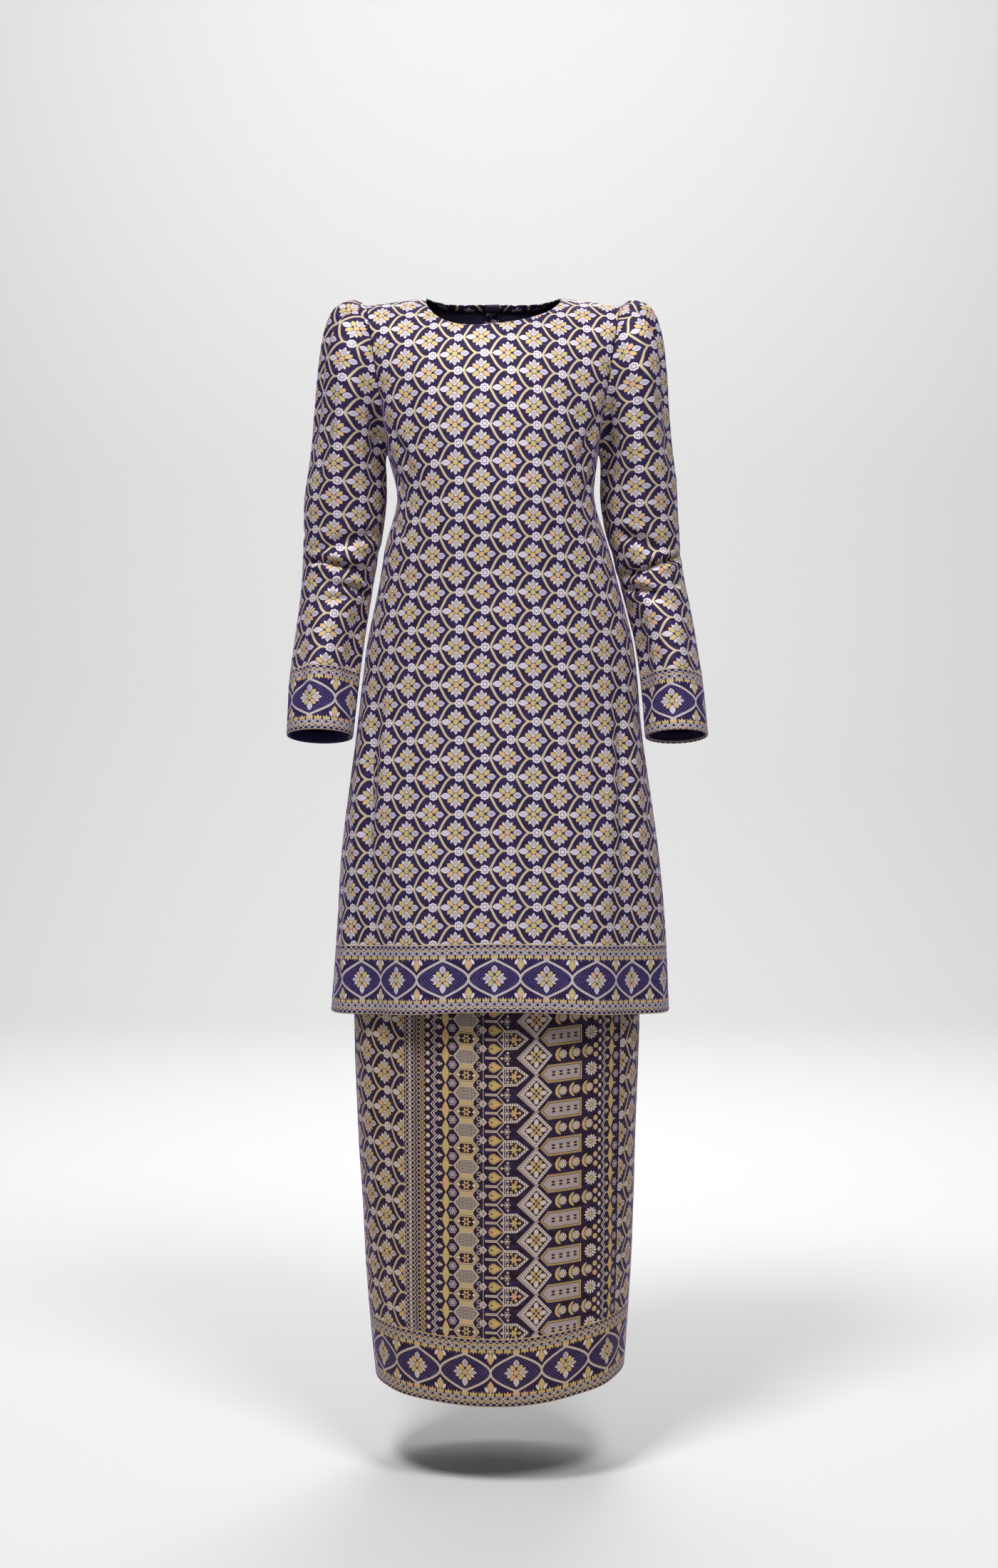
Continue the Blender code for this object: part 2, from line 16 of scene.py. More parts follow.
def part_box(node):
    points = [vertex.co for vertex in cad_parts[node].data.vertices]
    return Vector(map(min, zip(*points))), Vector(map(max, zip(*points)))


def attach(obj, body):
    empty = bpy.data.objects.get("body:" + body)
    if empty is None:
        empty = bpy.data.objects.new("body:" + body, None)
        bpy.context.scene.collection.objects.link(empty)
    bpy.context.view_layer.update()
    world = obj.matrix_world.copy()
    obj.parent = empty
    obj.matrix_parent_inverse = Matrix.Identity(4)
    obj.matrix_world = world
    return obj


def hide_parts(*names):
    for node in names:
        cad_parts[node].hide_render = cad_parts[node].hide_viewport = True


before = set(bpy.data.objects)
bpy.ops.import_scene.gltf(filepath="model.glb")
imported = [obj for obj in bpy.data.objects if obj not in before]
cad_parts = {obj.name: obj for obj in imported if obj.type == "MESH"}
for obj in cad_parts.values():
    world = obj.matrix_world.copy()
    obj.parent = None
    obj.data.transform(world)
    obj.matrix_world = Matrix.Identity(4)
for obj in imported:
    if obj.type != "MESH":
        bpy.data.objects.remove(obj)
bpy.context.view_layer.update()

bl_info = {
    "name": "Baju Kurung Set",
    "version": (1, 0, 0),
    "blender": (4, 5, 0),
    "location": "3D View > Sidebar > Baju Kurung",
    "description": "A songket tunic and skirt as worn, with seams, hems, creases and woven pattern",
    "category": "Add Mesh",
}

BODY = "root"
RIGHT, LEFT = -1, 1
FRONT, BACK = -1, 1

# Tunic: shoulders and neck
SHOULDER_HALF_WIDTH = 0.158
SHOULDER_DROP = 0.010
NECK_HALF_WIDTH = 0.0845
NECK_RISE = -0.001
SHOULDER_FALL = 1.4
NECK_SHARE = 0.5
RIDGE_PULL = 1.12
YOKE_FOOT_STEP = 0.02  # how far below the armpits the body's slope is read
NECK_TILT = 0.34
RIDGE_RISE = {FRONT: 0.016, BACK: 0.026}
RIDGE_SHAPE = 1.5
NECK_REACH = {FRONT: 0.64, BACK: 0.68}
NECK_SKEW = {FRONT: 0.12, BACK: 0.0}

# Tunic: armholes and hem
ARMPIT_HEIGHT = -0.195
ARMHOLE_FOOT_PULL = (0.004, 0.150, 0.075)
ARMHOLE_PULL_START = 0.55
TUNIC_HEM_HEIGHT = -0.8965
TUNIC_HEM_LIFT = {FRONT: 0.0165, BACK: 0.006}
HEM_LIFT_SHAPE = 1.3
YOKE_EASE = 1.35

# Skirt
WAIST_TOP_HEIGHT = -0.335
WAISTBAND_HEIGHT = 0.032
SKIRT_HEM_HEIGHT = -1.360
SKIRT_LEFT_HEM_LIFT = 0.012
SKIRT_FRONT_HEM_DROP = 0.010
SEAT_HEIGHT = -0.540
WAISTBAND_FOOT = 1 - WAISTBAND_HEIGHT / (WAIST_TOP_HEIGHT - SKIRT_HEM_HEIGHT)
CHEST_HEIGHT = -0.12  # the yoke faces away from a point at this height

# Sleeves
BICEPS_HEIGHT = -0.225
CUFF_HEIGHT = -0.548
CUFF_BACK_SLOPE = -0.25
CUFF_OUT_SLOPE = 0.02
FOREARM_TOP_HEIGHT = -0.300
HEAD_TOP_PULL = (0.197, 0.0, 0.103)
HEAD_SIDE_PULL = (0.030, 0.045)
HEAD_FOOT_PULL = (0.012, 0.0, -0.012)
ARM_TOP_FALL = (0.060, 0.0, -0.340)
ARM_FOOT_FALL = (0.0, 0.0, -0.030)
EVEN_ROW = 1.35

# A ring round the body: sizes from the body's axis, and how far the axis leans to +X.
Level = namedtuple("Level", "height half_width front back squareness lean")

TUNIC_LEVELS = (
    Level(ARMPIT_HEIGHT, 0.1320, 0.1160, 0.0980, 2.35, -0.0005),
    Level(-0.250, 0.1238, 0.1200, 0.0950, 2.35, 0.0030),
    Level(-0.310, 0.1400, 0.1180, 0.0930, 2.25, 0.0045),
    Level(-0.360, 0.1510, 0.1170, 0.0960, 2.20, 0.0070),
    Level(-0.430, 0.1670, 0.1180, 0.1110, 2.15, 0.0085),
    Level(-0.480, 0.1735, 0.1200, 0.1210, 2.10, 0.0085),
    Level(SEAT_HEIGHT, 0.1795, 0.1230, 0.1260, 2.10, 0.0075),
    Level(-0.690, 0.2000, 0.1340, 0.1320, 2.05, 0.0085),
    Level(-0.790, 0.2080, 0.1420, 0.1380, 2.00, 0.0100),
    Level(-0.905, 0.2150, 0.1480, 0.1460, 2.00, 0.0085),
)

SKIRT_LEVELS = (
    Level(WAIST_TOP_HEIGHT, 0.1220, 0.0880, 0.0800, 2.10, 0.0050),
    Level(-0.367, 0.1270, 0.0920, 0.0840, 2.10, 0.0050),
    Level(-0.430, 0.1530, 0.1060, 0.1040, 2.10, 0.0060),
    Level(SEAT_HEIGHT, 0.1725, 0.1160, 0.1239, 2.10, 0.0060),
    Level(-0.700, 0.1800, 0.1190, 0.1200, 2.15, 0.0055),
    Level(-0.905, 0.1810, 0.1220, 0.1160, 2.20, 0.0045),
    Level(-1.057, 0.1760, 0.1250, 0.1150, 2.20, 0.0045),
    Level(-1.138, 0.1725, 0.1270, 0.1160, 2.20, 0.0060),
    Level(-1.219, 0.1690, 0.1290, 0.1180, 2.20, 0.0065),
    Level(-1.290, 0.1642, 0.1320, 0.1220, 2.20, 0.0070),
    Level(SKIRT_HEM_HEIGHT, 0.1582, 0.1350, 0.1270, 2.20, 0.0080),
)

# A soft upright fold: where it runs round the body (degrees, 0 at +X and -90 at the front), how
# far it stands out or, below 0, in at the hem, its half width in degrees, and where it starts.
Fold = namedtuple("Fold", "angle depth half_angle top")

TUNIC_FOLDS = (
    Fold(-127, 0.0080, 15, -0.52),
    Fold(-152, -0.0120, 15, -0.56),
    Fold(-50, 0.0070, 15, -0.54),
    Fold(-26, -0.0095, 15, -0.58),
    Fold(-100, -0.0020, 12, -0.62),
    Fold(28, -0.0090, 15, -0.58),
    Fold(56, 0.0085, 15, -0.55),
    Fold(92, -0.0055, 16, -0.60),
    Fold(124, 0.0090, 15, -0.55),
    Fold(151, -0.0110, 15, -0.57),
)

SKIRT_FOLDS = (
    Fold(-140, 0.0025, 16, -0.95),
    Fold(-36, 0.0030, 16, -0.95),
    Fold(40, 0.0035, 18, -0.95),
    Fold(140, 0.0035, 18, -0.95),
)

# A ring round each arm: inner and outer edge from the origin's plane for both sleeves, how far
# its middle lies behind the shoulder points, and half its depth from front to back.
ArmLevel = namedtuple("ArmLevel", "height right_inner right_outer left_inner left_outer back half_depth")

ARM_LEVELS = (
    ArmLevel(BICEPS_HEIGHT, 0.1345, 0.2350, 0.1350, 0.2310, 0.012, 0.0560),
    ArmLevel(-0.251, 0.1345, 0.2385, 0.1350, 0.2322, 0.013, 0.0560),
    ArmLevel(-0.287, 0.1385, 0.2394, 0.1405, 0.2345, 0.014, 0.0545),
    ArmLevel(-0.323, 0.1450, 0.2403, 0.1505, 0.2370, 0.014, 0.0520),
    ArmLevel(-0.359, 0.1515, 0.2425, 0.1605, 0.2430, 0.010, 0.0500),
    ArmLevel(-0.395, 0.1572, 0.2460, 0.1697, 0.2502, 0.004, 0.0480),
    ArmLevel(-0.431, 0.1625, 0.2507, 0.1785, 0.2560, -0.004, 0.0465),
    ArmLevel(-0.485, 0.1690, 0.2565, 0.1855, 0.2637, -0.017, 0.0445),
    ArmLevel(CUFF_HEIGHT, 0.1755, 0.2588, 0.1900, 0.2691, -0.032, 0.0430),
)

# A soft pleat of the sleeve head: where it runs round the arm (degrees, 0 at the outer side and
# 90 at the front), how much fuller or slacker it makes the head, and its half width.
Pleat = namedtuple("Pleat", "angle fullness half_angle")

HEAD_PLEATS = (
    Pleat(4, 0.11, 11),
    Pleat(23, -0.26, 11),
    Pleat(41, 0.10, 11),
    Pleat(58, -0.08, 11),
    Pleat(-13, -0.12, 9),
    Pleat(-30, 0.12, 11),
    Pleat(-48, -0.16, 11),
    Pleat(-66, 0.05, 11),
)

# A crease across the bent elbow: its height and place round the arm, how far it goes in, its
# half height and half width, and how much it climbs for each radian round the arm.
ElbowCrease = namedtuple("ElbowCrease", "height angle depth half_height half_angle climb")

ELBOW_CREASES = (
    ElbowCrease(-0.309, 85, 0.0055, 0.016, 75, 0.014),
    ElbowCrease(-0.344, 125, 0.0065, 0.015, 70, -0.010),
    ElbowCrease(-0.378, 95, 0.0045, 0.016, 60, 0.012),
    ElbowCrease(-0.326, 215, 0.0045, 0.016, 55, -0.012),
)

# How fine each sheet's grid is, in steps across and up
TUNIC_COLUMNS, BODY_ROWS, YOKE_ROWS = 132, 150, 50
SLEEVE_COLUMNS, ARM_ROWS, SLEEVE_HEAD_ROWS = 96, 90, 50
FLAT_HEAD_START = 72  # the row below the biceps from which a sleeve's cloth is laid flat
ARMHOLE_STEPS = 400
SKIRT_COLUMNS, SKIRT_ROWS = 110, 200
RING_COLUMNS, RING_OVERLAP, CASING_ROWS = 464, 3, 12

# How a panel is laid on the woven pattern: turned over (-1) or not, shifted, in metres, and how
# much longer its cloth is than its smooth surface, because small folds take some up.
Cut = namedtuple("Cut", "turn across up slack")

FRONT_CUT = Cut(1, -0.0175, 0.0, 1.0)
BACK_CUT = Cut(-1, 0.0, 0.0, 1.0)
SLEEVE_RIGHT_CUT = Cut(1, -0.0727, 0.0, 1.035)
SLEEVE_LEFT_CUT = Cut(-1, 0.0560, 0.0050, 1.035)
SKIRT_FRONT_CUT = Cut(1, 0.0, 0.0, 1.0)
SKIRT_BACK_CUT = Cut(-1, 0.0170, 0.0, 1.0)

# The covered button, as rings from its foot to its top, and the loop round it
ButtonRing = namedtuple("ButtonRing", "radius height")

BUTTON_RINGS = (
    ButtonRing(0.0030, -0.0023),
    ButtonRing(0.0046, -0.0020),
    ButtonRing(0.0053, -0.0012),
    ButtonRing(0.0055, -0.0003),
    ButtonRing(0.0053, 0.0008),
    ButtonRing(0.0044, 0.0017),
    ButtonRing(0.0028, 0.0022),
    ButtonRing(0.0010, 0.0023),
)
BUTTON_SIDES = 24
BUTTON_RISE, BUTTON_STEP = 0.99, 0.01  # where on the back it sits, and the step that reads the slope
LOOP_THREAD = 0.00045
LOOP_HALF_HEIGHT, LOOP_LENGTH, LOOP_DEPTH = 0.0062, 0.0085, 0.0019
LOOP_OPENING, LOOP_POINTS = 156, 30

# Stage and camera
FLOOR_HEIGHT, STAGE_HEIGHT, STAGE_HALF_WIDTH = -1.475, 7.0, 9.0
STAGE_DEPTH, STAGE_WALL, COVE_RADIUS, COVE_STEPS = 7.0, 5.5, 1.6, 24
CAMERA_PLACE, CAMERA_TILT, CAMERA_LENS = (0.0072, -3.4, -0.425), math.radians(86.9), 61.8
Lamp = namedtuple("Lamp", "place aim size")

LAMPS = {
    "key": Lamp((-1.0, -2.0, 3.0), (0.0, 0.0, -0.3), 1.0),
    "fill": Lamp((1.0, -2.3, 2.6), (0.0, 0.0, -0.3), 1.1),
    "back": Lamp((0.5, 2.6, 1.9), (0.0, 0.0, -0.6), 1.6),
    "wall": Lamp((0.0, 2.0, 2.6), (0.0, 5.5, -0.6), 2.5),
}


# ---------------------------------------------------------------- surfaces of the cut


def hermite(start, start_pull, end, end_pull, share):
    """A smooth curve between two ends, which leaves and arrives along the two pulls."""
    square, cube = share**2, share**3
    return (
        start * (2 * cube - 3 * square + 1)
        + start_pull * (cube - 2 * square + share)
        + end * (3 * square - 2 * cube)
        + end_pull * (cube - square)
    )


def spread(first, last, steps):
    return np.linspace(first, last, steps + 1)


def eased(low, high, value):
    """0 up to low and 1 from high on, with a smooth climb between."""
    share = np.clip((value - low) / (high - low), 0.0, 1.0)
    return share * share * (3 - 2 * share)


def bell(distance, half_width):
    """1 in the middle, falling smoothly to 0 at the half width."""
    return np.cos(np.clip(distance / half_width, -1, 1) * np.pi / 2) ** 2


def turn_between(angle, other):
    """The shorter turn from one direction to another, in degrees."""
    return (angle - other + 180) % 360 - 180


def unit(vectors):
    return vectors / np.maximum(np.linalg.norm(vectors, axis=-1, keepdims=True), 1e-12)


def at_height(levels, height):
    """A table's sizes at many heights, on a smooth curve through its rows and level past its ends."""
    table = np.array(levels)
    steps = table[:, 0]
    last = len(steps) - 1
    around = [(min(i + 1, last), max(i - 1, 0)) for i in range(len(steps))]
    slopes = np.array([(table[low] - table[high]) / (steps[low] - steps[high]) for low, high in around])
    height = np.clip(height, steps[-1], steps[0])
    upper = np.clip(np.searchsorted(-steps, -height, side="right") - 1, 0, last - 1)
    span = steps[upper + 1] - steps[upper]
    share = ((height - steps[upper]) / span)[..., None]
    pull, next_pull = slopes[upper] * span[..., None], slopes[upper + 1] * span[..., None]
    sizes = hermite(table[upper], pull, table[upper + 1], next_pull, share)
    return type(levels[0])(*np.moveaxis(sizes, -1, 0))


def ring(levels, folds, hem, angle, height):
    """A garment's outer face; angle 0 is at +X and a quarter turn back at the front."""
    size = at_height(levels, height)
    across, along = np.cos(angle), np.sin(angle)
    depth = np.where(along < 0, size.front, size.back)
    power = size.squareness
    radius = (np.abs(across / size.half_width) ** power + np.abs(along / depth) ** power) ** (-1 / power)
    for fold in folds:
        off = turn_between(np.degrees(angle), fold.angle)
        radius = radius + fold.depth * bell(off, fold.half_angle) * eased(-fold.top, -hem, -height)
    return np.stack([size.lean + radius * across, radius * along, height], axis=-1)


def panel_angle(face, across):
    """The direction of a column: across runs from -1 at the right seam to 1 at the left one."""
    return face * (np.pi / 2) * (1 - across)


def tunic_body(face, across, rise):
    """Below the armpits: rise is 0 at the hem and 1 at the armpits."""
    angle = panel_angle(face, across)
    hem = TUNIC_HEM_HEIGHT + TUNIC_HEM_LIFT[face] * np.abs(np.sin(angle)) ** HEM_LIFT_SHAPE
    return ring(TUNIC_LEVELS, TUNIC_FOLDS, TUNIC_HEM_HEIGHT, angle, hem + (ARMPIT_HEIGHT - hem) * rise)


def yoke_ridge(face, across):
    """The shoulder seam, and between the neck points the line on which the yoke would close."""
    part = np.abs(across)
    lift = np.cos(np.minimum(part / NECK_SHARE, 1.0) * np.pi / 2) ** RIDGE_SHAPE
    seam = np.maximum(part - NECK_SHARE, 0.0) / (1 - NECK_SHARE)
    x = NECK_HALF_WIDTH * np.minimum(part / NECK_SHARE, 1.0)
    x = x + (SHOULDER_HALF_WIDTH - NECK_HALF_WIDTH) * seam
    z = NECK_RISE + RIDGE_RISE[face] * lift - (NECK_RISE + SHOULDER_DROP) * seam**SHOULDER_FALL
    return np.stack([np.copysign(x, across), np.zeros_like(x), z], axis=-1)


def closed_yoke(face, across, reach):
    """The yoke as if it closed over the neck: reach is 0 at the armpits and 1 on the ridge."""
    top = np.ones_like(across)
    foot = tunic_body(face, across, top)
    below = tunic_body(face, across, top - YOKE_FOOT_STEP)
    ridge = yoke_ridge(face, across)
    length = np.linalg.norm(ridge - foot, axis=-1, keepdims=True)
    out, away, up = ARMHOLE_FOOT_PULL
    armhole = np.stack([np.copysign(out, across), face * away * top, up * top], axis=-1)
    turning = eased(ARMHOLE_PULL_START, 1.0, np.abs(across))[..., None]
    foot_pull = unit(foot - below) * length * (1 - turning) + armhole * turning
    tilt = NECK_TILT * (1 - eased(NECK_SHARE, 1.0, np.abs(across)))
    ridge_pull = -face * length * np.stack([0 * top, RIDGE_PULL * top, tilt], axis=-1)
    return hermite(foot, foot_pull, ridge, ridge_pull, reach[..., None])


def yoke_place(face, across, rise):
    """Where a point of the yoke lies on the closed yoke: rise is 1 at the shoulder or neckline."""
    turn = np.clip(across / NECK_SHARE, -1, 1) * np.pi / 2
    cut = (1 - NECK_REACH[face]) * np.cos(turn) * (1 - NECK_SKEW[face] * np.sin(turn))
    end = np.where(np.abs(across) >= NECK_SHARE, across, NECK_SHARE * np.sin(turn))
    return across + (end - across) * rise**2, (1 - cut) * rise


def tunic_surface(face, across, rise):
    """A whole tunic panel on the closed yoke's grid: rise is -1 at the hem and 0 at the armpits."""
    below = tunic_body(face, across, np.minimum(rise, 0.0) + 1)
    above = closed_yoke(face, across, np.maximum(rise, 0.0))
    return np.where((rise > 0)[..., None], above, below)


def skirt_ring(angle, rise):
    """Rise is 0 at the hem and 1 at the top of the waistband."""
    hem = SKIRT_HEM_HEIGHT + SKIRT_LEFT_HEM_LIFT * np.maximum(0.0, np.cos(angle)) ** 2
    hem = hem - SKIRT_FRONT_HEM_DROP * np.maximum(0.0, -np.sin(angle)) ** 2
    height = hem + (WAIST_TOP_HEIGHT - hem) * rise
    return ring(SKIRT_LEVELS, SKIRT_FOLDS, SKIRT_HEM_HEIGHT, angle, height)


def skirt_surface(face, across, rise):
    return skirt_ring(panel_angle(face, across), rise)


def armhole_point(side, place):
    """The armhole's line: place is 0 at the shoulder, 1 at the armpit in front and -1 behind."""
    rise = 1 - np.abs(place) ** YOKE_EASE
    across = np.full_like(rise, float(side))
    front, back = closed_yoke(FRONT, across, rise), closed_yoke(BACK, across, rise)
    return np.where((place >= 0)[..., None], front, back)


def armhole_turn(side, place):
    """The direction round the sleeve of an armhole point, by its share of the armhole's length."""
    around = spread(-1, 1, ARMHOLE_STEPS)
    line = armhole_point(side, around)
    run = np.concatenate([[0], np.cumsum(np.linalg.norm(np.diff(line, axis=0), axis=1))])
    run = run - np.interp(0, around, run)
    return np.interp(place, around, run) / (run[-1] - run[0]) * 2 * np.pi


def arm_surface(side, turn, height):
    """The sleeve below the biceps; turn 0 is at the outer side, a quarter in front."""
    size = at_height(ARM_LEVELS, height)
    inner = size.left_inner if side == LEFT else size.right_inner
    outer = size.left_outer if side == LEFT else size.right_outer
    reach = np.ones_like(height)
    for crease in ELBOW_CREASES:
        off = turn_between(np.degrees(turn), crease.angle)
        middle = crease.height + crease.climb * np.radians(off)
        dent = bell(off, crease.half_angle) * bell(height - middle, crease.half_height)
        reach = reach - crease.depth * dent / size.half_depth
    out = (outer - inner) / 2 * np.cos(turn) * reach
    back = -size.half_depth * np.sin(turn) * reach
    lean = eased(-FOREARM_TOP_HEIGHT, -CUFF_HEIGHT, -height)
    drop = lean * (CUFF_BACK_SLOPE * back + CUFF_OUT_SLOPE * out)
    return np.stack([side * ((outer + inner) / 2 + out), size.back + back, height + drop], axis=-1)


def head_surface(side, place, turn, share):
    """The sleeve head, from the armhole (share 0) to the biceps (share 1)."""
    upper = (np.cos(turn / 2) ** 2)[..., None]
    flank = np.sin(turn)
    fullness = np.ones_like(turn)
    for pleat in HEAD_PLEATS:
        off = turn_between(np.degrees(turn), pleat.angle)
        fullness = fullness + pleat.fullness * bell(off, pleat.half_angle)
    out, forward = HEAD_SIDE_PULL
    sideways = np.stack([out * np.abs(flank), -forward * flank, 0 * flank], axis=-1)
    pull = np.array(HEAD_TOP_PULL) * upper * fullness[..., None] + np.array(HEAD_FOOT_PULL) * (1 - upper)
    fall = np.array(ARM_TOP_FALL) * upper + np.array(ARM_FOOT_FALL) * (1 - upper)
    pull, fall = (pull + sideways) * (side, 1, 1), fall * (side, 1, 1)
    biceps = arm_surface(side, turn, np.full_like(turn, BICEPS_HEIGHT))
    return hermite(armhole_point(side, place), pull, biceps, fall, share[..., None])


def sleeve_surface(side, place, row):
    """Place runs round from the armpit behind (-1) to the armpit in front (1), row 1 is the biceps."""
    turn = armhole_turn(side, place)
    head = head_surface(side, place, turn, np.minimum(row, 1.0))
    evenness = eased(1.0, EVEN_ROW, row)
    height = BICEPS_HEIGHT + (CUFF_HEIGHT - BICEPS_HEIGHT) * (np.maximum(row, 1.0) - 1)
    arm = arm_surface(side, turn + (np.pi * place - turn) * evenness, height)
    return np.where((row > 1)[..., None], arm, head)


# ---------------------------------------------------------------- creases, placed one by one

Crease = namedtuple("Crease", "start end depth half_width bow")


def creases_of(*rows):
    """Soft creases of one panel's worn cloth, from rows of millimetres.

    A row says where on the cloth the crease starts and ends, across from the panel's middle and up
    from its hem, how far it moves the cloth out or, below 0, in, its half width, and how far its
    middle bows aside. On a sleeve, across runs to the front.
    """
    return [Crease(row[:2], row[2:4], *row[4:]) for row in np.array(rows) / 1000]


SLEEVE_RIGHT_CREASES = creases_of(
    (0, 226, 132, 212, -10, 6.5, -6),
    (46, 184, 146, 172, -7.8, 7.5, 6),
    (80, 240, 160, 266, -3.6, 9, 0),
    (-14, 262, 34, 246, -2.2, 7, 2),
    (76, 505, 44, 292, -4.8, 13.5, 5),
    (140, 545, 130, 240, -8.5, 29, -2),
    (76, 570, 68, 232, 8.5, 29, 3),
    (96, 450, 150, 335, -3.4, 11, 3),
    (12, 536, 20, 589, -8.5, 6.5, 0),
    (-36, 540, -50, 430, -5, 12, 4),
    (-108, 500, -70, 330, -4.2, 13, 6),
    (-160, 208, -40, 246, -4.8, 10, 7),
    (-150, 168, -78, 184, -3.4, 9.5, -3),
    (-165, 262, -90, 300, -3.2, 10, 4),
    (34, 118, 50, 4, -2.6, 14, 3),
    (116, 210, 118, -6, -7, 26, -2),
    (62, 206, 56, -10, 6.6, 26, 3),
    (-92, 132, -74, 2, -3.2, 16, 4),
)

SLEEVE_LEFT_CREASES = creases_of(
    (-8, 240, 126, 202, -10.4, 6.4, -6),
    (58, 170, 142, 188, -7.4, 7.5, 4),
    (62, 242, 132, 264, -3.2, 9, 0),
    (14, 196, 60, 176, -2.6, 8, 3),
    (92, 478, 44, 296, -5.2, 13, 7),
    (138, 540, 128, 236, -8.5, 29, -3),
    (74, 566, 66, 228, 8.5, 29, 4),
    (100, 470, 144, 360, -3.4, 11, 2),
    (22, 532, 8, 589, -7, 6, 0),
    (-30, 545, -44, 450, -4.6, 11, 3),
    (-100, 505, -74, 350, -4.4, 13, 5),
    (-156, 196, -34, 238, -5, 10, 6),
    (-160, 250, -84, 292, -3.4, 10.5, 4),
    (-140, 158, -70, 170, -3, 9, -3),
    (46, 122, 60, 6, -2.4, 15, -3),
    (114, 206, 116, -6, -7, 26, -3),
    (60, 202, 54, -10, 6.6, 26, 2),
    (-88, 120, -100, 4, -3, 15, 3),
)

TUNIC_FRONT_CREASES = creases_of(
    (-158, 752, -104, 640, -3.2, 12, 5),
    (168, 770, 108, 650, -3.4, 12, -6),
    (-172, 690, -122, 612, -2.4, 10, 3),
    (176, 700, 128, 618, -2.6, 10, -4),
    (-172, 604, -108, 584, -2.4, 10, 3),
    (176, 600, 112, 578, -2.2, 10, -3),
    (-150, 440, -176, 110, -8.8, 18.5, -6),
    (164, 440, 176, 100, -8.8, 18.5, 6),
    (-128, 292, -132, 70, 3, 15, 4),
    (140, 270, 146, 60, 3, 15, -3),
    (-52, 498, -146, 400, -1.6, 19, 10),
    (66, 476, 150, 392, -1.5, 19, -9),
    (-70, 134, -64, 2, -1.8, 20, 3),
    (78, 118, 86, 2, -1.6, 19, -3),
    (-216, 150, -224, 4, 3.2, 15, 2),
)

TUNIC_BACK_CREASES = creases_of(
    (-170, 748, -100, 664, -3.4, 12.5, 6),
    (166, 756, 104, 668, -3.2, 12, -6),
    (-94, 640, -30, 606, -3, 12, 5),
    (102, 630, 26, 600, -2.8, 11.5, -5),
    (-150, 590, -70, 570, -2.6, 11, 4),
    (144, 604, 60, 572, -2.6, 11, -4),
    (-60, 500, -128, 390, -1.8, 18, 6),
    (56, 480, 132, 380, -1.8, 18, -8),
    (-110, 330, -118, 60, -4, 18, 5),
    (120, 340, 112, 70, -4.2, 17.5, -5),
    (-40, 300, -48, 20, 3.2, 17, 3),
    (52, 250, 60, 16, 3.4, 17, -4),
    (-206, 180, -214, 6, -3, 15, 2),
)

SKIRT_FRONT_CREASES = creases_of(
    (-150, 560, -146, 140, -2.4, 20, 6),
    (164, 540, 158, 160, -2.2, 19, -6),
    (-60, 420, -66, 60, -1, 24, 4),
    (70, 380, 62, 50, -1.1, 24, -5),
    (-120, 740, 10, 716, -3, 13, 8),
    (128, 752, 18, 700, -2.8, 13, -8),
    (-80, 880, -92, 800, -2.6, 9, 2),
    (74, 884, 88, 806, -2.6, 9, -2),
    (-22, 886, -18, 822, -2.2, 8, 1),
    (30, 884, 34, 830, -2, 8, 1),
    (-110, 130, -104, 3, -1.8, 20, 3),
)

SKIRT_BACK_CREASES = creases_of(
    (-130, 620, -22, 584, -3, 14, 8),
    (126, 636, 16, 598, -2.8, 14, -8),
    (-106, 540, -12, 520, -2.6, 13, 6),
    (112, 528, 30, 506, -2.4, 13, -6),
    (-96, 400, -100, 90, -2.4, 20, 5),
    (88, 420, 96, 70, -2.6, 20, -5),
    (6, 330, 0, 40, 2, 19, 3),
    (-76, 886, -84, 800, -2.6, 9, 2),
    (70, 884, 82, 812, -2.4, 9, -2),
    (12, 886, 16, 826, -2.2, 8, 1),
)


# ---------------------------------------------------------------- sheets of cloth

ROLL_TURNS = np.radians((0, 45, 90, 135, 180))
TURNING_STEPS = 3  # rows of a turning behind the sheet
CALM_STEPS = 3  # rows beside an edge over which creases die away
TABLE_COLUMNS, TABLE_ROWS = 160, 240  # how finely lengths along the cloth are measured
INNER_BAND = 0.08  # share of the baked map that the inner faces take
MAP_EDGE = 0.004  # and the margin round each part of it
WELD = 0.00001

# How curved cloth is laid flat: the least spread of a row in the first guess, every how many
# points of the sleeve head and of the body a net takes, how many of a sleeve's rows stay as they
# are, how often the cells are turned, and the threads that hold a cell together: edges, diagonals
LEAST_SPREAD = 0.3
HEAD_NET, BODY_NET = 2, 5
HELD_ROWS = 2
LAYING_ROUNDS = 24
CELL_THREADS = ((0, 1), (1, 2), (2, 3), (3, 0), (0, 2), (1, 3))

# The soft lips beside every crease: how far aside, in half widths, and how high
LIP_PLACE, LIP_HEIGHT = 1.35, 0.3

# The small unevenness everywhere: waves of growing length, each turned from the last and swaying
WAVES, WAVE_TURN, SHORTEST_WAVE, WAVE_GROWTH = 7, 2.39996, 0.045, 0.017
WAVE_SWAY, SWAY_PACE = 1.7, 0.37

# A sheet on its grid: the points and outward directions, and the place on the cut, in metres.
Sheet = namedtuple("Sheet", "points normals cloth")


def outward(points, core):
    """The grid's outward directions, away from the core."""
    normals = unit(np.cross(np.gradient(points, axis=1), np.gradient(points, axis=0)))
    return normals * np.sign(np.sum(normals * (points - core)))


def lookup(table, column, row):
    """A table's value at shares of its columns and rows."""
    rows, columns = table.shape[0] - 1, table.shape[1] - 1
    x, y = np.clip(column, 0, 1) * columns, np.clip(row, 0, 1) * rows
    i, j = np.minimum(x.astype(int), columns - 1), np.minimum(y.astype(int), rows - 1)
    x, y = (x - i)[..., None], (y - j)[..., None]
    low = table[j, i] * (1 - x) + table[j, i + 1] * x
    high = table[j + 1, i] * (1 - x) + table[j + 1, i + 1] * x
    return low * (1 - y) + high * y


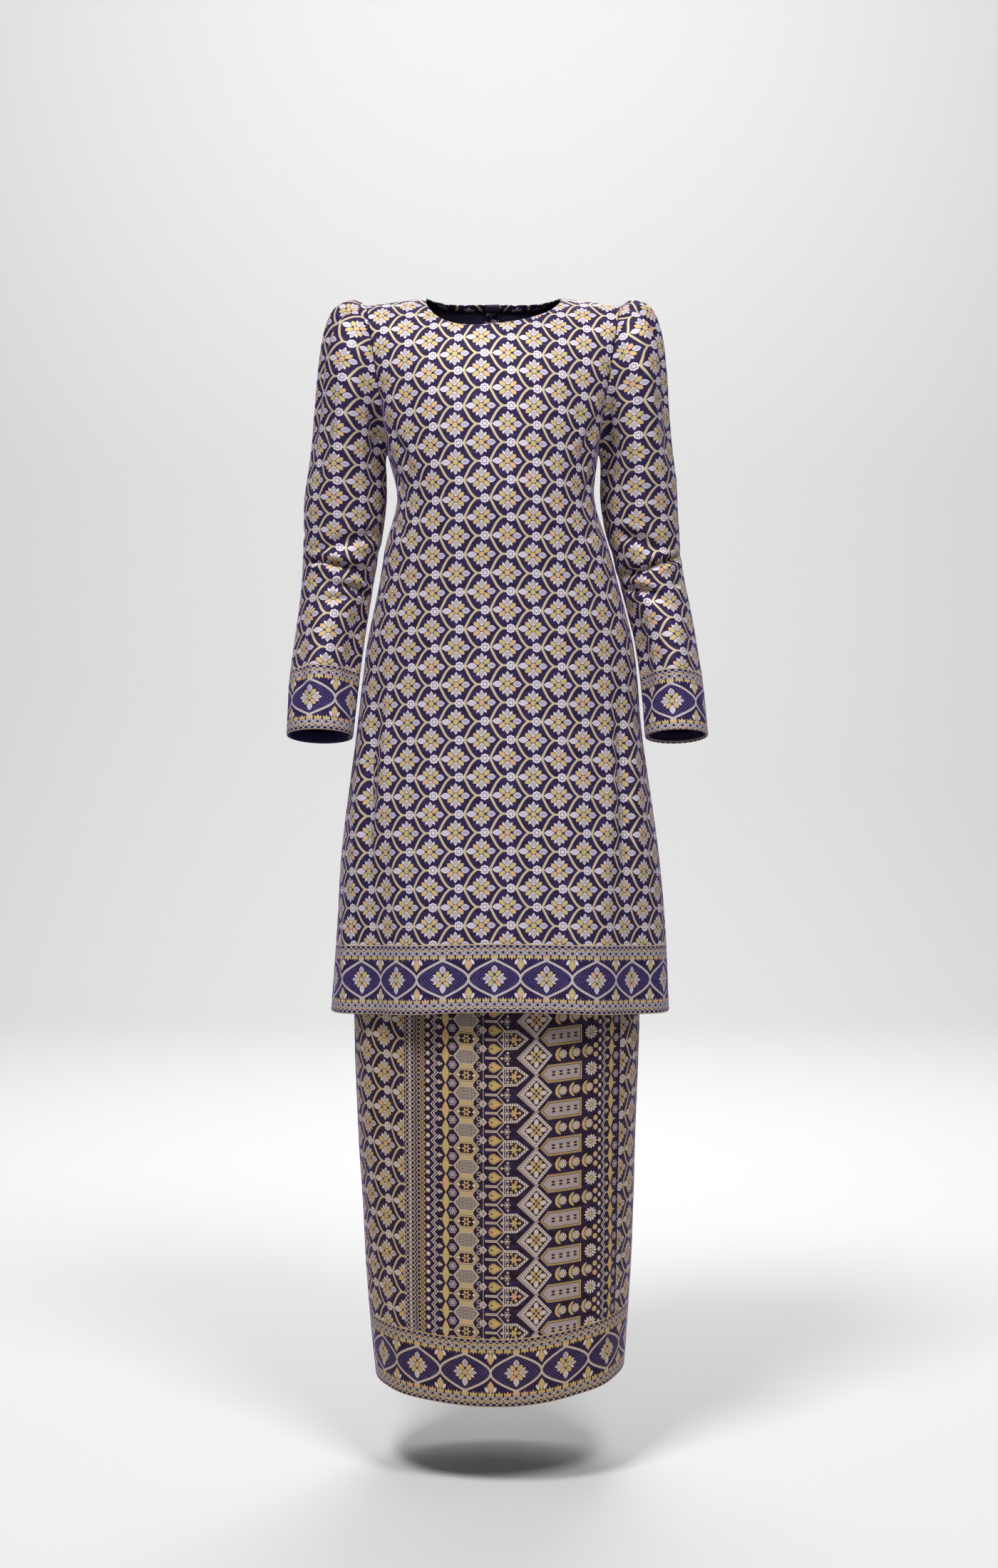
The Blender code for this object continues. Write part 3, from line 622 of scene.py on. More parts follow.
def lengths_along(points):
    """Lengths along every row and up every column of a grid, from its first ones."""
    across = np.linalg.norm(np.diff(points, axis=1), axis=-1)
    up = np.linalg.norm(np.diff(points, axis=0), axis=-1)
    across = np.pad(np.cumsum(across, axis=1), ((0, 0), (1, 0)))
    return across, np.pad(np.cumsum(up, axis=0), ((1, 0), (0, 0)))


def from_middle(lengths):
    """Lengths along every row, from the row's middle."""
    return lengths - lengths[:, [lengths.shape[1] // 2]]


def cell_corners(table):
    """The four corners of every cell of a grid, in the order round the cell."""
    return np.stack([table[:-1, :-1], table[:-1, 1:], table[1:, 1:], table[1:, :-1]], axis=2)


def cell_outlines(points):
    """Every cell's corners laid flat about its middle, unstretched, as complex numbers."""
    corners = cell_corners(points)
    first, second, third, fourth = np.moveaxis(corners, 2, 0)
    across = unit(second - first + third - fourth)
    up = fourth - first + third - second
    up = unit(up - np.sum(up * across, axis=-1, keepdims=True) * across)
    flat = np.einsum("ijkc,ijc->ijk", corners, across) + 1j * np.einsum("ijkc,ijc->ijk", corners, up)
    return flat - flat.mean(axis=2, keepdims=True)


def laid_flat(points, places, held):
    """Cloth places for a grid, with every cell turned but hardly stretched; held ones stay."""
    outlines = cell_outlines(points)
    corner = cell_corners(np.arange(held.size).reshape(held.shape))
    ends = [(corner[:, :, a].ravel(), corner[:, :, b].ravel()) for a, b in CELL_THREADS]
    pull = np.zeros((held.size, held.size))
    for first, last in ends:
        for one, other in ((first, last), (last, first)):
            np.add.at(pull, (one, one), 1)
            np.add.at(pull, (one, other), -1)
    fixed, free = held.ravel(), ~held.ravel()
    settle_free = np.linalg.inv(pull[np.ix_(free, free)])
    flat = (places[..., 0] + 1j * places[..., 1]).ravel()
    given = pull[np.ix_(free, fixed)] @ flat[fixed]
    for _ in range(LAYING_ROUNDS):
        turn = np.sum(flat[corner] * outlines.conj(), axis=2, keepdims=True)
        turned = outlines * turn / np.abs(turn)
        want = np.zeros_like(flat)
        for (a, b), (first, last) in zip(CELL_THREADS, ends):
            gap = (turned[:, :, a] - turned[:, :, b]).ravel()
            np.add.at(want, first, gap)
            np.subtract.at(want, last, gap)
        flat[free] = settle_free @ (want[free] - given)
    return np.stack([flat.real, flat.imag], axis=-1).reshape(*held.shape, 2)


def sleeve_cloth(points, first):
    """A sleeve's places on the flat cloth, laid flat from its row first up."""
    along, v = lengths_along(points)
    step = np.diff(along, axis=1)
    level = np.sqrt(np.maximum(step**2 - np.diff(v, axis=1) ** 2, (LEAST_SPREAD * step) ** 2))
    u = np.pad(np.cumsum(level, axis=1), ((0, 0), (1, 0)))
    u[: first + 1] = along[: first + 1]
    places = np.stack([from_middle(u), v], axis=-1)
    head = np.s_[first::HEAD_NET, ::HEAD_NET]
    held = np.zeros(places[head].shape[:2], dtype=bool)
    held[:HELD_ROWS] = True
    net = laid_flat(points[head], places[head], held)
    rows, columns = len(points) - first, points.shape[1]
    places[first:] = lookup(net, *np.meshgrid(spread(0, 1, columns - 1), spread(0, 1, rows - 1)))
    return places


def crease_height(creases, cloth):
    """How far all creases together move each point out: soft lips stand beside every trough."""
    height = np.zeros(cloth.shape[:-1])
    for crease in creases:
        start, end = np.array(crease.start), np.array(crease.end)
        length = np.linalg.norm(end - start)
        run = (end - start) / length
        share = (cloth - start) @ run / length
        aside = (cloth - start) @ np.array([-run[1], run[0]])
        aside = aside - crease.bow * 4 * share * (1 - share)
        lips = bell(np.abs(aside) - LIP_PLACE * crease.half_width, crease.half_width)
        profile = bell(aside, crease.half_width) - LIP_HEIGHT * lips
        height += crease.depth * bell(share - 0.5, 0.5) * profile
    return height


def hand_of_cloth(cloth, size, phase):
    """The small unevenness that worn cloth has everywhere: a few crossing waves, none regular."""
    height = np.zeros(cloth.shape[:-1])
    for k in range(WAVES):
        heading = phase + k * WAVE_TURN
        wave = 2 * np.pi / (SHORTEST_WAVE + WAVE_GROWTH * k)
        way = cloth @ np.array([math.cos(heading), math.sin(heading)])
        cross = cloth @ np.array([-math.sin(heading), math.cos(heading)])
        height += np.sin(wave * way + WAVE_SWAY * np.sin(cross * wave * SWAY_PACE + k)) / WAVES
    return height * size


def pressed(sheet, creases, phase, core):
    """The sheet with its creases and small unevenness, calm at its edges."""
    feel = bpy.context.scene.kurung_cloth
    height = crease_height(creases, sheet.cloth) * feel.creasing
    height = height + hand_of_cloth(sheet.cloth, feel.unevenness, phase)
    rows, columns = (np.minimum(np.arange(size), np.arange(size)[::-1]) for size in height.shape)
    calm = eased(0, CALM_STEPS, np.minimum(rows[:, None], columns[None, :]))
    points = sheet.points + sheet.normals * (height * calm)[..., None]
    return Sheet(points, outward(points, core), sheet.cloth)


def roll_edge(sheet, roll, turning):
    """Rolls the first row in and lays its turning behind the sheet."""
    points, normals, cloth = sheet
    edge = points[0]
    along = unit(np.gradient(edge, axis=0))
    inward = points[1] - edge
    step = np.linalg.norm(inward, axis=-1, keepdims=True)
    inward = unit(inward - np.sum(inward * along, axis=-1, keepdims=True) * along)
    growth = (cloth[1] - cloth[0]) / step
    base = edge + inward * roll
    made, places = [], []
    for turn in ROLL_TURNS:
        made.append(base - inward * roll * math.sin(turn) - normals[0] * roll * (1 - math.cos(turn)))
        places.append(cloth[0] + growth * roll * (1 - turn))
    depth = lengths_along(points)[1]
    for reach in spread(0, turning, TURNING_STEPS)[1:]:
        spot, facing = np.empty_like(edge), np.empty_like(edge)
        for c in range(len(edge)):
            for axis in range(3):
                spot[c, axis] = np.interp(roll + reach, depth[:, c], points[:, c, axis])
                facing[c, axis] = np.interp(roll + reach, depth[:, c], normals[:, c, axis])
        made.append(spot - unit(facing) * 2 * roll)
        places.append(cloth[0] - growth * (roll * (np.pi - 1) + reach))
    copied = np.repeat(normals[:1], len(made), axis=0)
    parts = (made[::-1], points[1:]), (copied, normals[1:]), (places[::-1], cloth[1:])
    return Sheet(*(np.concatenate(part) for part in parts))


def flipped(sheet, axis):
    return Sheet(*(np.flip(part, axis) for part in sheet))


def transposed(sheet):
    return Sheet(*(np.swapaxes(part, 0, 1) for part in sheet))


def with_turnings(sheet, foot, top, sides):
    """Every edge rolled in; each edge is (roll, turning)."""
    sheet = roll_edge(sheet, *foot)
    sheet = flipped(roll_edge(flipped(sheet, 0), *top), 0)
    sheet = transposed(sheet)
    sheet = roll_edge(sheet, *sides)
    sheet = flipped(roll_edge(flipped(sheet, 0), *sides), 0)
    return transposed(sheet)


def select_nothing():
    bpy.ops.object.select_all(action="DESELECT")


def apply_modifier(piece, kind, **settings):
    modifier = piece.modifiers.new(kind.title(), kind)
    for name, value in settings.items():
        setattr(modifier, name, value)
    bpy.context.view_layer.objects.active = piece
    bpy.ops.object.modifier_apply(modifier=modifier.name)


def sew_sheet(name, sheet, materials, closed=False):
    """One panel as a mesh: a grid moved to the sheet's points, with a layer's thickness inwards."""
    points, cloth = sheet.points, sheet.cloth
    facing = np.cross(np.gradient(points, axis=1), np.gradient(points, axis=0))
    if np.sum(facing * sheet.normals) < 0:
        points, cloth = points[:, ::-1], cloth[:, ::-1]
    rows, columns = points.shape[:2]
    select_nothing()
    bpy.ops.mesh.primitive_grid_add(x_subdivisions=columns - 1, y_subdivisions=rows - 1, size=1)
    piece = bpy.context.object
    piece.name = name
    mesh = piece.data
    mesh.name = name
    mesh.vertices.foreach_set("co", points.reshape(-1).astype(np.float32))
    corners = np.empty(len(mesh.loops), int)
    mesh.loops.foreach_get("vertex_index", corners)
    mesh.uv_layers[0].name = "Cloth"
    write_map(mesh.uv_layers[0], cloth.reshape(-1, 2)[corners])
    for material in materials:
        mesh.materials.append(material)
    mesh.update()
    if closed:
        bpy.ops.object.mode_set(mode="EDIT")
        bpy.ops.mesh.select_all(action="SELECT")
        bpy.ops.mesh.remove_doubles(threshold=WELD)
        bpy.ops.object.mode_set(mode="OBJECT")
    apply_modifier(
        piece,
        "SOLIDIFY",
        thickness=bpy.context.scene.kurung_cloth.thickness,
        offset=-1.0,
        material_offset=1,
        material_offset_rim=1,
    )
    mesh = piece.data
    mesh.shade_smooth()
    add_bake_map(mesh)
    return piece


def write_map(layer, places):
    layer.data.foreach_set("uv", np.ascontiguousarray(places, dtype=np.float32).reshape(-1))


def read_map(mesh):
    places = np.empty(len(mesh.loops) * 2, np.float32)
    mesh.uv_layers["Cloth"].data.foreach_get("uv", places)
    return places.reshape(-1, 2).astype(float)


def add_bake_map(mesh):
    """A second map, for baking: the outer faces over most of the square, the inner ones in a band."""
    places = read_map(mesh)
    low, high = places.min(axis=0), places.max(axis=0)
    share = (places - low) / (high - low)
    inner = np.empty(len(mesh.polygons), int)
    mesh.polygons.foreach_get("material_index", inner)
    loops = np.empty(len(mesh.polygons), int)
    mesh.polygons.foreach_get("loop_total", loops)
    inner = np.repeat(inner > 0, loops)
    across = MAP_EDGE + share[:, 0] * (1 - 2 * MAP_EDGE)
    outer_up = INNER_BAND + MAP_EDGE + share[:, 1] * (1 - INNER_BAND - 2 * MAP_EDGE)
    inner_up = MAP_EDGE + share[:, 1] * (INNER_BAND - 2 * MAP_EDGE)
    layer = mesh.uv_layers.new(name="OFBake")
    write_map(layer, np.stack([across, np.where(inner, inner_up, outer_up)], axis=-1))


# ---------------------------------------------------------------- materials


class Value:
    """A number, vector or colour in a material's nodes. Maths on it adds Math nodes."""

    def __init__(self, tree, socket):
        self.tree = tree
        self.socket = socket

    def add(self, kind, settings=None, sockets=None, output=0):
        """Adds a node: its settings first, then the values or links of its sockets."""
        node = self.tree.nodes.new("ShaderNode" + kind)
        for name, setting in (settings or {}).items():
            setattr(node, name, setting)
        for place, value in (sockets or {}).items():
            if isinstance(value, Value):
                self.tree.links.new(value.socket, node.inputs[place])
            else:
                node.inputs[place].default_value = value
        return Value(self.tree, node.outputs[output])

    def maths(self, operation, *values, clamp=False):
        return self.add("Math", {"operation": operation, "use_clamp": clamp}, dict(enumerate(values)))

    def __add__(self, other):
        return self.maths("ADD", self, other)

    __radd__ = __add__

    def __sub__(self, other):
        return self.maths("SUBTRACT", self, other)

    def __rsub__(self, other):
        return self.maths("SUBTRACT", other, self)

    def __mul__(self, other):
        return self.maths("MULTIPLY", self, other)

    __rmul__ = __mul__

    def __truediv__(self, other):
        return self.maths("DIVIDE", self, other)

    def __pow__(self, other):
        return self.maths("POWER", self, other)

    def __abs__(self):
        return self.maths("ABSOLUTE", self)

    def __and__(self, other):
        return self.maths("MINIMUM", self, other)

    def __or__(self, other):
        return self.maths("MAXIMUM", self, other)

    def __gt__(self, other):
        return self.maths("GREATER_THAN", self, other)

    def __lt__(self, other):
        return self.maths("LESS_THAN", self, other)

    def inside(self, softness=0.45):
        """1 where this distance, in millimetres, is below 0, with a soft edge."""
        return self.maths("MULTIPLY_ADD", self, -1 / softness, 0.5, clamp=True)

    def near(self, half_width, softness=0.45):
        """1 on a line of this half width, where this distance is about 0."""
        return (abs(self) - half_width).inside(softness)

    def climb(self, low, high):
        """0 up to low and 1 from high on, in a straight line between."""
        step = 1 / (high - low)
        return self.maths("MULTIPLY_ADD", self, step, -low * step, clamp=True)

    def nearest(self, period):
        """The distance from the nearest multiple of the period, with its sign."""
        return self - self.maths("SNAP", self + period / 2, period)

    def sine(self, period):
        return self.maths("SINE", self * (2 * math.pi / period))

    def cosine(self, period):
        return self.maths("COSINE", self * (2 * math.pi / period))

    def choose(self, no, yes):
        """The one value where this mask is 0 and the other where it is 1."""
        return self.add("Mix", {"data_type": "FLOAT"}, {0: self, 2: no, 3: yes})

    def paint(self, under, over):
        """The colour over where this mask is 1, on the colour under."""
        return self.add("Mix", {"data_type": "RGBA"}, {0: self, 6: under, 7: over}, output=2)


def length(x, y):
    return (x * x + y * y) ** 0.5


def srgb(red, green, blue):
    """A given colour in sRGB, 0 to 255, as the shaders take it."""
    channels = [c / 255 for c in (red, green, blue)]
    linear = [c / 12.92 if c <= 0.04045 else ((c + 0.055) / 1.055) ** 2.4 for c in channels]
    return (*linear, 1.0)


def new_material(name, flat=True):
    """A principled shader, with the place on the flat cloth or in a small part, in millimetres."""
    material = bpy.data.materials.new(name)
    material.use_nodes = True
    start = Value(material.node_tree, None)
    place = start.add("UVMap", {"uv_map": "Cloth"}) if flat else start.add("TexCoord", output=3)
    axes = (0, 1) if flat else (0, 2)
    u, v = (start.add("SeparateXYZ", None, {0: place}, output=axis) * 1000 for axis in axes)
    return material, material.node_tree.nodes["Principled BSDF"], u, v


def connect(value, shader, socket):
    value.tree.links.new(value.socket, shader.inputs[socket])


# The songket's flower lattice, in millimetres of cloth
REPEAT_ACROSS, REPEAT_UP = 63.4, 45.2
HALF_REPEAT = REPEAT_ACROSS / 2
DISC_RADIUS = 3.3
PETAL_PLACE, PETAL_SIZE, PETAL_TURN = (6.9, 5.4), (5.4, 2.8), math.radians(40)
PETAL_CORNER, PETAL_VEIN = (10.1, 8.3), 2.2
TULIP_TIP, TULIP_TIP_SLOPE, TULIP_SIDE, TULIP_SIDE_SLOPE = 15.9, 1.5, 8.6, 0.64
TULIP_HALF_WIDTH, TULIP_BELLY, TULIP_BELLY_DEPTH = 6.2, 10.6, 6.6
BUD_PLACE, BUD_SIZE, BUD_POINT, BUD_SLOPE = 9.4, (3.5, 3.9), 14.0, 0.9
LEAF_PLACE, LEAF_HALF_LENGTH, LEAF_HALF_HEIGHT, LEAF_HATCH = 12.1, 6.3, 3.7, 2.1
ROSETTE_PLACE, ROSETTE_RADII, ROSETTE_HOLES = 4.1, (4.9, 5.7), (2.7, 1.0)
VINE_START, VINE_LEAN, VINE_CURL, VINE_HALF_WIDTH = 10.4, 0.5, 4.3, 1.42
VINE_REACH, VINE_SLANT, VINE_END_SLANT = 22.5, 0.895, 0.37
STEM_ENDS, STEM_HALF_WIDTH = ((-4.4, 2.9), (11.2, 1.8)), 1.25  # each a middle and a half length
OUTLINE = 0.85

# Its border, in millimetres up from the edge or out from the border's middle
BORDER_HEIGHT = 84.2
BORDER_MIDDLE = BORDER_HEIGHT / 2
BORDER_FLOWER = 1.07  # how much smaller its flowers are
MEDALLION_HALF_HEIGHT, MEDALLION_STEEPNESS = 22.7, 2.2
CHEVRON_PERIOD, CHEVRON_SLOPE, CHEVRON_INSET = 4.4, 1.1, 2.4
DROP_FOOT = MEDALLION_HALF_HEIGHT + 4.6
DROP_LEAF, DROP_LEAF_SIZE, DROP_LEAF_LEAN = (5.0, 6.6), (1.9, 3.2), 0.4
DROP_VEIN, DROP_VEIN_SIZE = 9.5, (1.0, 2.2)
STALK_START, STALK_SLOPE, STALK_HALF_LENGTH = 2.0, 0.9, 2.4
BULB_FOOT, BULB_BELLY, BULB_SHOULDER, BULB_LENGTH, BULB_HALF_WIDTH = 3.0, 6.0, 10.0, 7.5, 4.3
CROWN_FOOT, RING_MIDDLE, GOLD_LINE, CHAIN_MIDDLE = 28.3, 31.7, 35.4, 39.2
CROWN_TIP, CROWN_TIP_SLOPE, CROWN_NOTCH, CROWN_NOTCH_SLOPE = 5.9, 2.0, 1.2, 0.75
CROWN_HALF_WIDTH, VEE_SLOPE, VEE_HALF_HEIGHT = 4.3, 0.75, 3.0
RING_RADIUS, RING_HOLE, RING_SQUEEZE, CHAIN_HALF_WIDTH = 3.5, 1.8, 1.05, 2.5
RING_PERIOD, CHAIN_PERIOD = REPEAT_ACROSS / 6, REPEAT_ACROSS / 8

# Where the lattice and the border start across, from a flower and from a medallion
BORDER_SHIFT = -REPEAT_ACROSS / 4
HEAD_LATTICE, HEAD_BORDER = -145.0, 28.5

# The skirt's head panel: where each column stands on the front, in millimetres from its middle
HEAD_FIRST, HEAD_LAST = -113.4, 171.6
CHAIN_COLUMNS = (-109.3, -101.9)
CHAIN_LINE, ZIGZAG_LINE, INTERLACE = -105.5, -96.0, -89.4
LEFT_GROUP, RIGHT_GROUP, RIGHT_GROUP_SPREAD = -81.6, 137.9, 1.15
ZIGZAG_STEP, TREFOIL_STEP, CROSS_STEP, FLOWER_STEP = 11.2, 15.4, 22.6, 31.2
HEXAGONS, HEXAGON_RING = -33.1, -17.6
NET_DIAMONDS, SHORT_BARS, HEARTS = -12.2, -3.0, 0.4
POINTS_LEFT, POINTS_RIGHT = 4.2, 14.2
ARROW_FOOT, ARROW_TIP, DOT_FLOWER, GOLD_DOT_FLOWER = 12.0, 44.0, 17.0, 25.6
CHEVRON_LEFT, DIAMONDS = 31.4, 53.3
BAR_TIP, BAR_END, BAR_MARKS, MARK_PERIOD = 57.6, 112.5, 75.0, 9.6
CRESCENTS, CRESCENT_PERIOD = 79.5, 17.7
DAISIES, GOLD_DISCS = 125.2, 131.6

# Its rows, which rise a little from the right seam to the left one
HEAD_ROW, ROW_RISE, ROW_CURVE = 24.1, 0.027, 0.0002
ROW = REPEAT_UP
HALF_ROW, FINE_ROW, LINK = ROW / 2, ROW / 4, ROW / 8

# The sizes of its motifs
ZIGZAG_SLOPE, ZIGZAG_DEPTH = 1.1, 1.5
CROSS_HALF_WIDTH, CROSS_HALF_HEIGHT, BLADE_HALF_WIDTH = 9.6, 3.3, 4.3
HEXAGON_HALF_WIDTH, HEXAGON_HALF_HEIGHT, HEXAGON_SLOPE, BEADS = 16.4, 9.7, 0.81, 9.3
HEART_POINT, HEART_SLOPE = 6.9, 0.62
ARROW_SLOPE, ARROW_HALF_HEIGHT = 1.24, 11.9
PEARLS = ((DOT_FLOWER - 6.4, 0.0, 1.7), (DOT_FLOWER + 1.0, 6.6, 1.6))  # place, step aside, radius
GOLD_PEARLS = ((32.6, 0.0, 1.9), (28.0, 5.4, 1.7), (22.4, 7.0, 1.5))
CHEVRON_STEEPNESS = 1.02
DIAMOND_SIZE, DIAMOND_BLADES, DIAMOND_OVALS = (20.4, 21.9), (4.2, 4.4), (8.6, 9.2)
BAR_HALF_HEIGHT, BAR_SLOPE = 11.2, 1.08
MARK_HALF_WIDTH, MARK_SLOPE, MARK_HALF_HEIGHT = 1.2, 0.45, 3.0
CRESCENT_DISC, CRESCENT_HOLLOW, CRESCENT_END, CRESCENT_ROSETTE = (6.6, 8.9), (9.4, 8.0), 4.6, 7.4

# The weave, in millimetres, and the painted shade on the ribs' darker side
WEFT, RIB, RIB_PAINTED_SHADE, RIB_PAINTED_SHADE_COLOUR = 0.8, 0.9, 0.22, (0.35, 0.33, 0.42, 1.0)
WEAVE_RELIEF = 0.00012  # metres
SKIRT_CAST = (0.93, 0.85, 0.68, 1.0)
CASING_STITCHES, STITCH_LENGTH = (3.0, 28.5), 2.6

# How large the spots are in which colours drift, across and up
GOLD_DRIFT, GROUND_DRIFT, FLOAT_DRIFT, STREAK_DRIFT = (11, 11), (16, 5), (4.5, 1.6), (3, 30)

# How the cloth takes light: metal thread is a little smoother, and silk has a violet sheen
ROUGHNESS, METAL_SMOOTHNESS, METALLIC, SPECULAR = 0.62, 0.08, 0.18, 0.1
SHEEN, SHEEN_ROUGHNESS, SHEEN_TINT = 0.22, 0.35, (150, 112, 228)
REVERSE_ROUGHNESS, CASING_ROUGHNESS, COVER_ROUGHNESS, LOOP_ROUGHNESS = 0.7, 0.6, 0.45, 0.55
SONGKET_RELIEF, REVERSE_RELIEF, CASING_RELIEF, SMALL_RELIEF = 0.25, 0.2, 0.3, 0.4
LOOP_TWIST = 0.5


class Weave:
    """The cloth's colour as motifs are laid on its ground, and where metal thread shows."""

    def __init__(self, colour, gold):
        self.colour = colour
        self.gold = gold
        self.metal = None

    def lay(self, mask, name):
        self.colour = mask.paint(self.colour, self.gold if name == "gold" else dye(name))
        self.metal = mask if self.metal is None else self.metal | mask

    def sink(self, mask, name="outline"):
        """The ground or a dark outline shows again."""
        self.colour = mask.paint(self.colour, dye(name))
        self.metal = self.metal & (1 - mask)

    def lay_rimmed(self, shape, name, rim):
        """A motif with a dark rim round it."""
        self.sink((shape - rim).inside())
        self.lay(shape.inside(), name)


def dye(name):
    """A thread's colour, as the scene's settings have it."""
    return tuple(getattr(bpy.context.scene.kurung_dyes, name))


def cloud(u, v, drift, detail=1.0):
    """Smooth noise over the cloth, about 0.5 in the middle, whose spots are as large as the drift."""
    place = u.add("CombineXYZ", None, {0: u / drift[0], 1: v / drift[1]})
    sockets = {"Vector": place, "Scale": 1.0, "Detail": detail}
    return place.add("TexNoise", {"noise_dimensions": "2D"}, sockets)


def gold_tint(u, v):
    """The gold thread's colour, which turns from greenish gold to peach over a few millimetres."""
    turn = cloud(u, v, GOLD_DRIFT)
    warm = turn.climb(0.40, 0.60).paint(dye("gold_green"), dye("gold"))
    return turn.climb(0.56, 0.70).paint(warm, dye("gold_peach"))


def ground_colour(u, v, name):
    """The dark ground, with painted sheen in patches here and there, where it turns to the ground sheen
    colour.
    """
    return cloud(u, v, GROUND_DRIFT, 2.0).climb(0.35, 0.77).paint(dye(name), dye("ground_sheen"))


# A shape is the distance from its edge in millimetres, below 0 inside; | cuts two shapes down to
# what they share. The distance from a slanted edge is scaled by about the cosine of its slope.


def disc(x, y, radius):
    return length(x, y) - radius


def oval(x, y, half_width, half_height):
    return (length(x / half_width, y / half_height) - 1) * min(half_width, half_height)


def rhomb(x, y, half_width, half_height):
    side = math.hypot(half_width, half_height)
    return (abs(x) * half_height + abs(y) * half_width - half_width * half_height) / side


def heading(x, y):
    """The direction of a place, in radians."""
    return x.maths("ARCTAN2", y, x)


def petals(x, y, count, inner, outer):
    """The edge of a flower of round petals."""
    return length(x, y) - inner - (outer - inner) * abs(heading(x, y).cosine(4 * math.pi / count))


def holes(x, y, count, radius, half_width):
    """A ring of dark holes."""
    return disc(x, y, radius).near(half_width, 0.6) & (heading(x, y).cosine(2 * math.pi / count) > 0.15)


def chain(x, along, half_width, period):
    """The lines of a chain of lenses, as the distance from them."""
    return abs(x) - half_width * abs(along.sine(period * 2))


def net(x, y, period):
    """Fine checks that stand on their corners."""
    return (x + y).sine(period) * (x - y).sine(period) > 0.0


def lay_leaves(weave, x, y, right):
    """A leaf to each side, the right one a little shorter."""
    along = (abs(x) - LEAF_PLACE) / (LEAF_HALF_LENGTH - right)
    leaf = (abs(y) - LEAF_HALF_HEIGHT * (1 - along * along)) * 0.8
    weave.lay(leaf.inside(), "silver")
    hatch = (x + y).sine(LEAF_HATCH) > 0.1
    weave.lay((leaf + OUTLINE).inside() & (hatch | right), "lilac")


def lay_tulips(weave, x, ax, ay):
    """A tulip above and one below, each with three points and a bud inside."""
    points = (TULIP_TIP - TULIP_TIP_SLOPE * ax) | (TULIP_SIDE + TULIP_SIDE_SLOPE * ax)
    belly = (ay - TULIP_BELLY) & 0.0
    side = length(x / TULIP_HALF_WIDTH, belly / TULIP_BELLY_DEPTH) - 1
    tulip = (side * TULIP_HALF_WIDTH) | ((ay - points) * 0.6)
    weave.lay(tulip.inside(), "silver")
    bud = oval(x, ay - BUD_PLACE, *BUD_SIZE) | ((ay - BUD_POINT + BUD_SLOPE * ax) * 0.7)
    weave.lay(bud.inside(), "bud")
    weave.sink((bud + 0.5).near(0.28, 0.5), "silver_shade")


def lay_flower(weave, x, y):
    """One flower: four gold petals on a gold disc, silver tulips above and below, leaves beside."""
    ax, ay = abs(x), abs(y)
    lay_leaves(weave, x, y, x > 0)
    lay_tulips(weave, x, ax, ay)
    px, py = ax - PETAL_PLACE[0], ay - PETAL_PLACE[1]
    c, s = math.cos(PETAL_TURN), math.sin(PETAL_TURN)
    along, aside = px * c + py * s, py * c - px * s
    petal = oval(along, aside, *PETAL_SIZE)
    weave.sink((petal - 0.7).inside())
    corner = (ax - PETAL_CORNER[0]) | (ay - PETAL_CORNER[1])
    weave.lay((petal | corner).inside(), "gold")
    weave.sink(aside.near(0.15, 0.6) & along.near(PETAL_VEIN), "vine")
    weave.lay_rimmed(disc(x, y, DISC_RADIUS), "gold", 0.6)


def lattice_place(u, v, start):
    """From the nearest flower and the nearest tie of the lattice, whose rows are shifted in turn."""
    a = ((u - start) / REPEAT_ACROSS).nearest(1)
    b = ((v - BORDER_HEIGHT) / REPEAT_UP).nearest(1)
    shifted = (abs(a) + abs(b) > 0.5) * 0.5
    a = a - shifted * a.maths("SIGN", a)
    b = b - shifted * b.maths("SIGN", b)
    beside = abs(a) > abs(b)
    tie_a = a - beside * a.maths("SIGN", a) * 0.5
    tie_b = b - (1 - beside) * b.maths("SIGN", b) * 0.5
    return a * REPEAT_ACROSS, b * REPEAT_UP, tie_a * REPEAT_ACROSS, tie_b * REPEAT_UP


def lay_vines(weave, x, y, tie_x, tie_y, cover):
    """Vines swing from tie to tie and meet in a short stem on the left of each rosette."""
    right = x > 0
    up = right.choose(abs(y), REPEAT_UP / 2 - abs(y))
    out = x + (1 - right) * HALF_REPEAT
    curl = (up / VINE_REACH) ** 6
    off = (out - (VINE_START + VINE_LEAN * up + VINE_CURL * curl)) * (VINE_SLANT - VINE_END_SLANT * curl)
    one, other = ((tie_x - middle).near(half_length) for middle, half_length in STEM_ENDS)
    vine = off.near(VINE_HALF_WIDTH) | ((one | other) & tie_y.near(STEM_HALF_WIDTH))
    weave.lay(vine & cover, "vine")


def lay_rosette(weave, tie_x, tie_y, cover):
    """A white rosette of eight scallops with eight dark holes."""
    x = tie_x - ROSETTE_PLACE
    weave.lay(petals(x, tie_y, 8, *ROSETTE_RADII).inside() & cover, "silver")
    weave.sink(holes(x, tie_y, 8, *ROSETTE_HOLES) & cover)


def lay_border_bands(weave, x, d):
    """Outside the medallions, both ways alike: crowns, rings, a gold line and a lens chain."""
    ring_x = x.nearest(RING_PERIOD)
    wide = abs(ring_x)
    rise = CROWN_FOOT - d
    points = (CROWN_TIP - CROWN_TIP_SLOPE * wide) | (CROWN_NOTCH + CROWN_NOTCH_SLOPE * wide)
    crown = (rise - points) | (wide - CROWN_HALF_WIDTH) | (0 - rise)
    weave.lay(crown.inside(), "gold")
    ring = length(ring_x, (d - RING_MIDDLE) * RING_SQUEEZE)
    weave.lay((ring - RING_RADIUS).inside(), "silver_shade")
    weave.sink((ring - RING_HOLE).inside())
    vee = (abs(d - RING_MIDDLE) * VEE_SLOPE - (RING_PERIOD / 2 - wide)).near(0.55)
    weave.lay(vee & (d - RING_MIDDLE).near(VEE_HALF_HEIGHT), "silver")
    weave.lay(chain(d - CHAIN_MIDDLE, x, CHAIN_HALF_WIDTH, CHAIN_PERIOD).near(0.6), "beige")
    weave.lay((d - GOLD_LINE).near(0.55), "gold")
    weave.lay((d - BORDER_MIDDLE + 0.5).near(0.5), "gold")


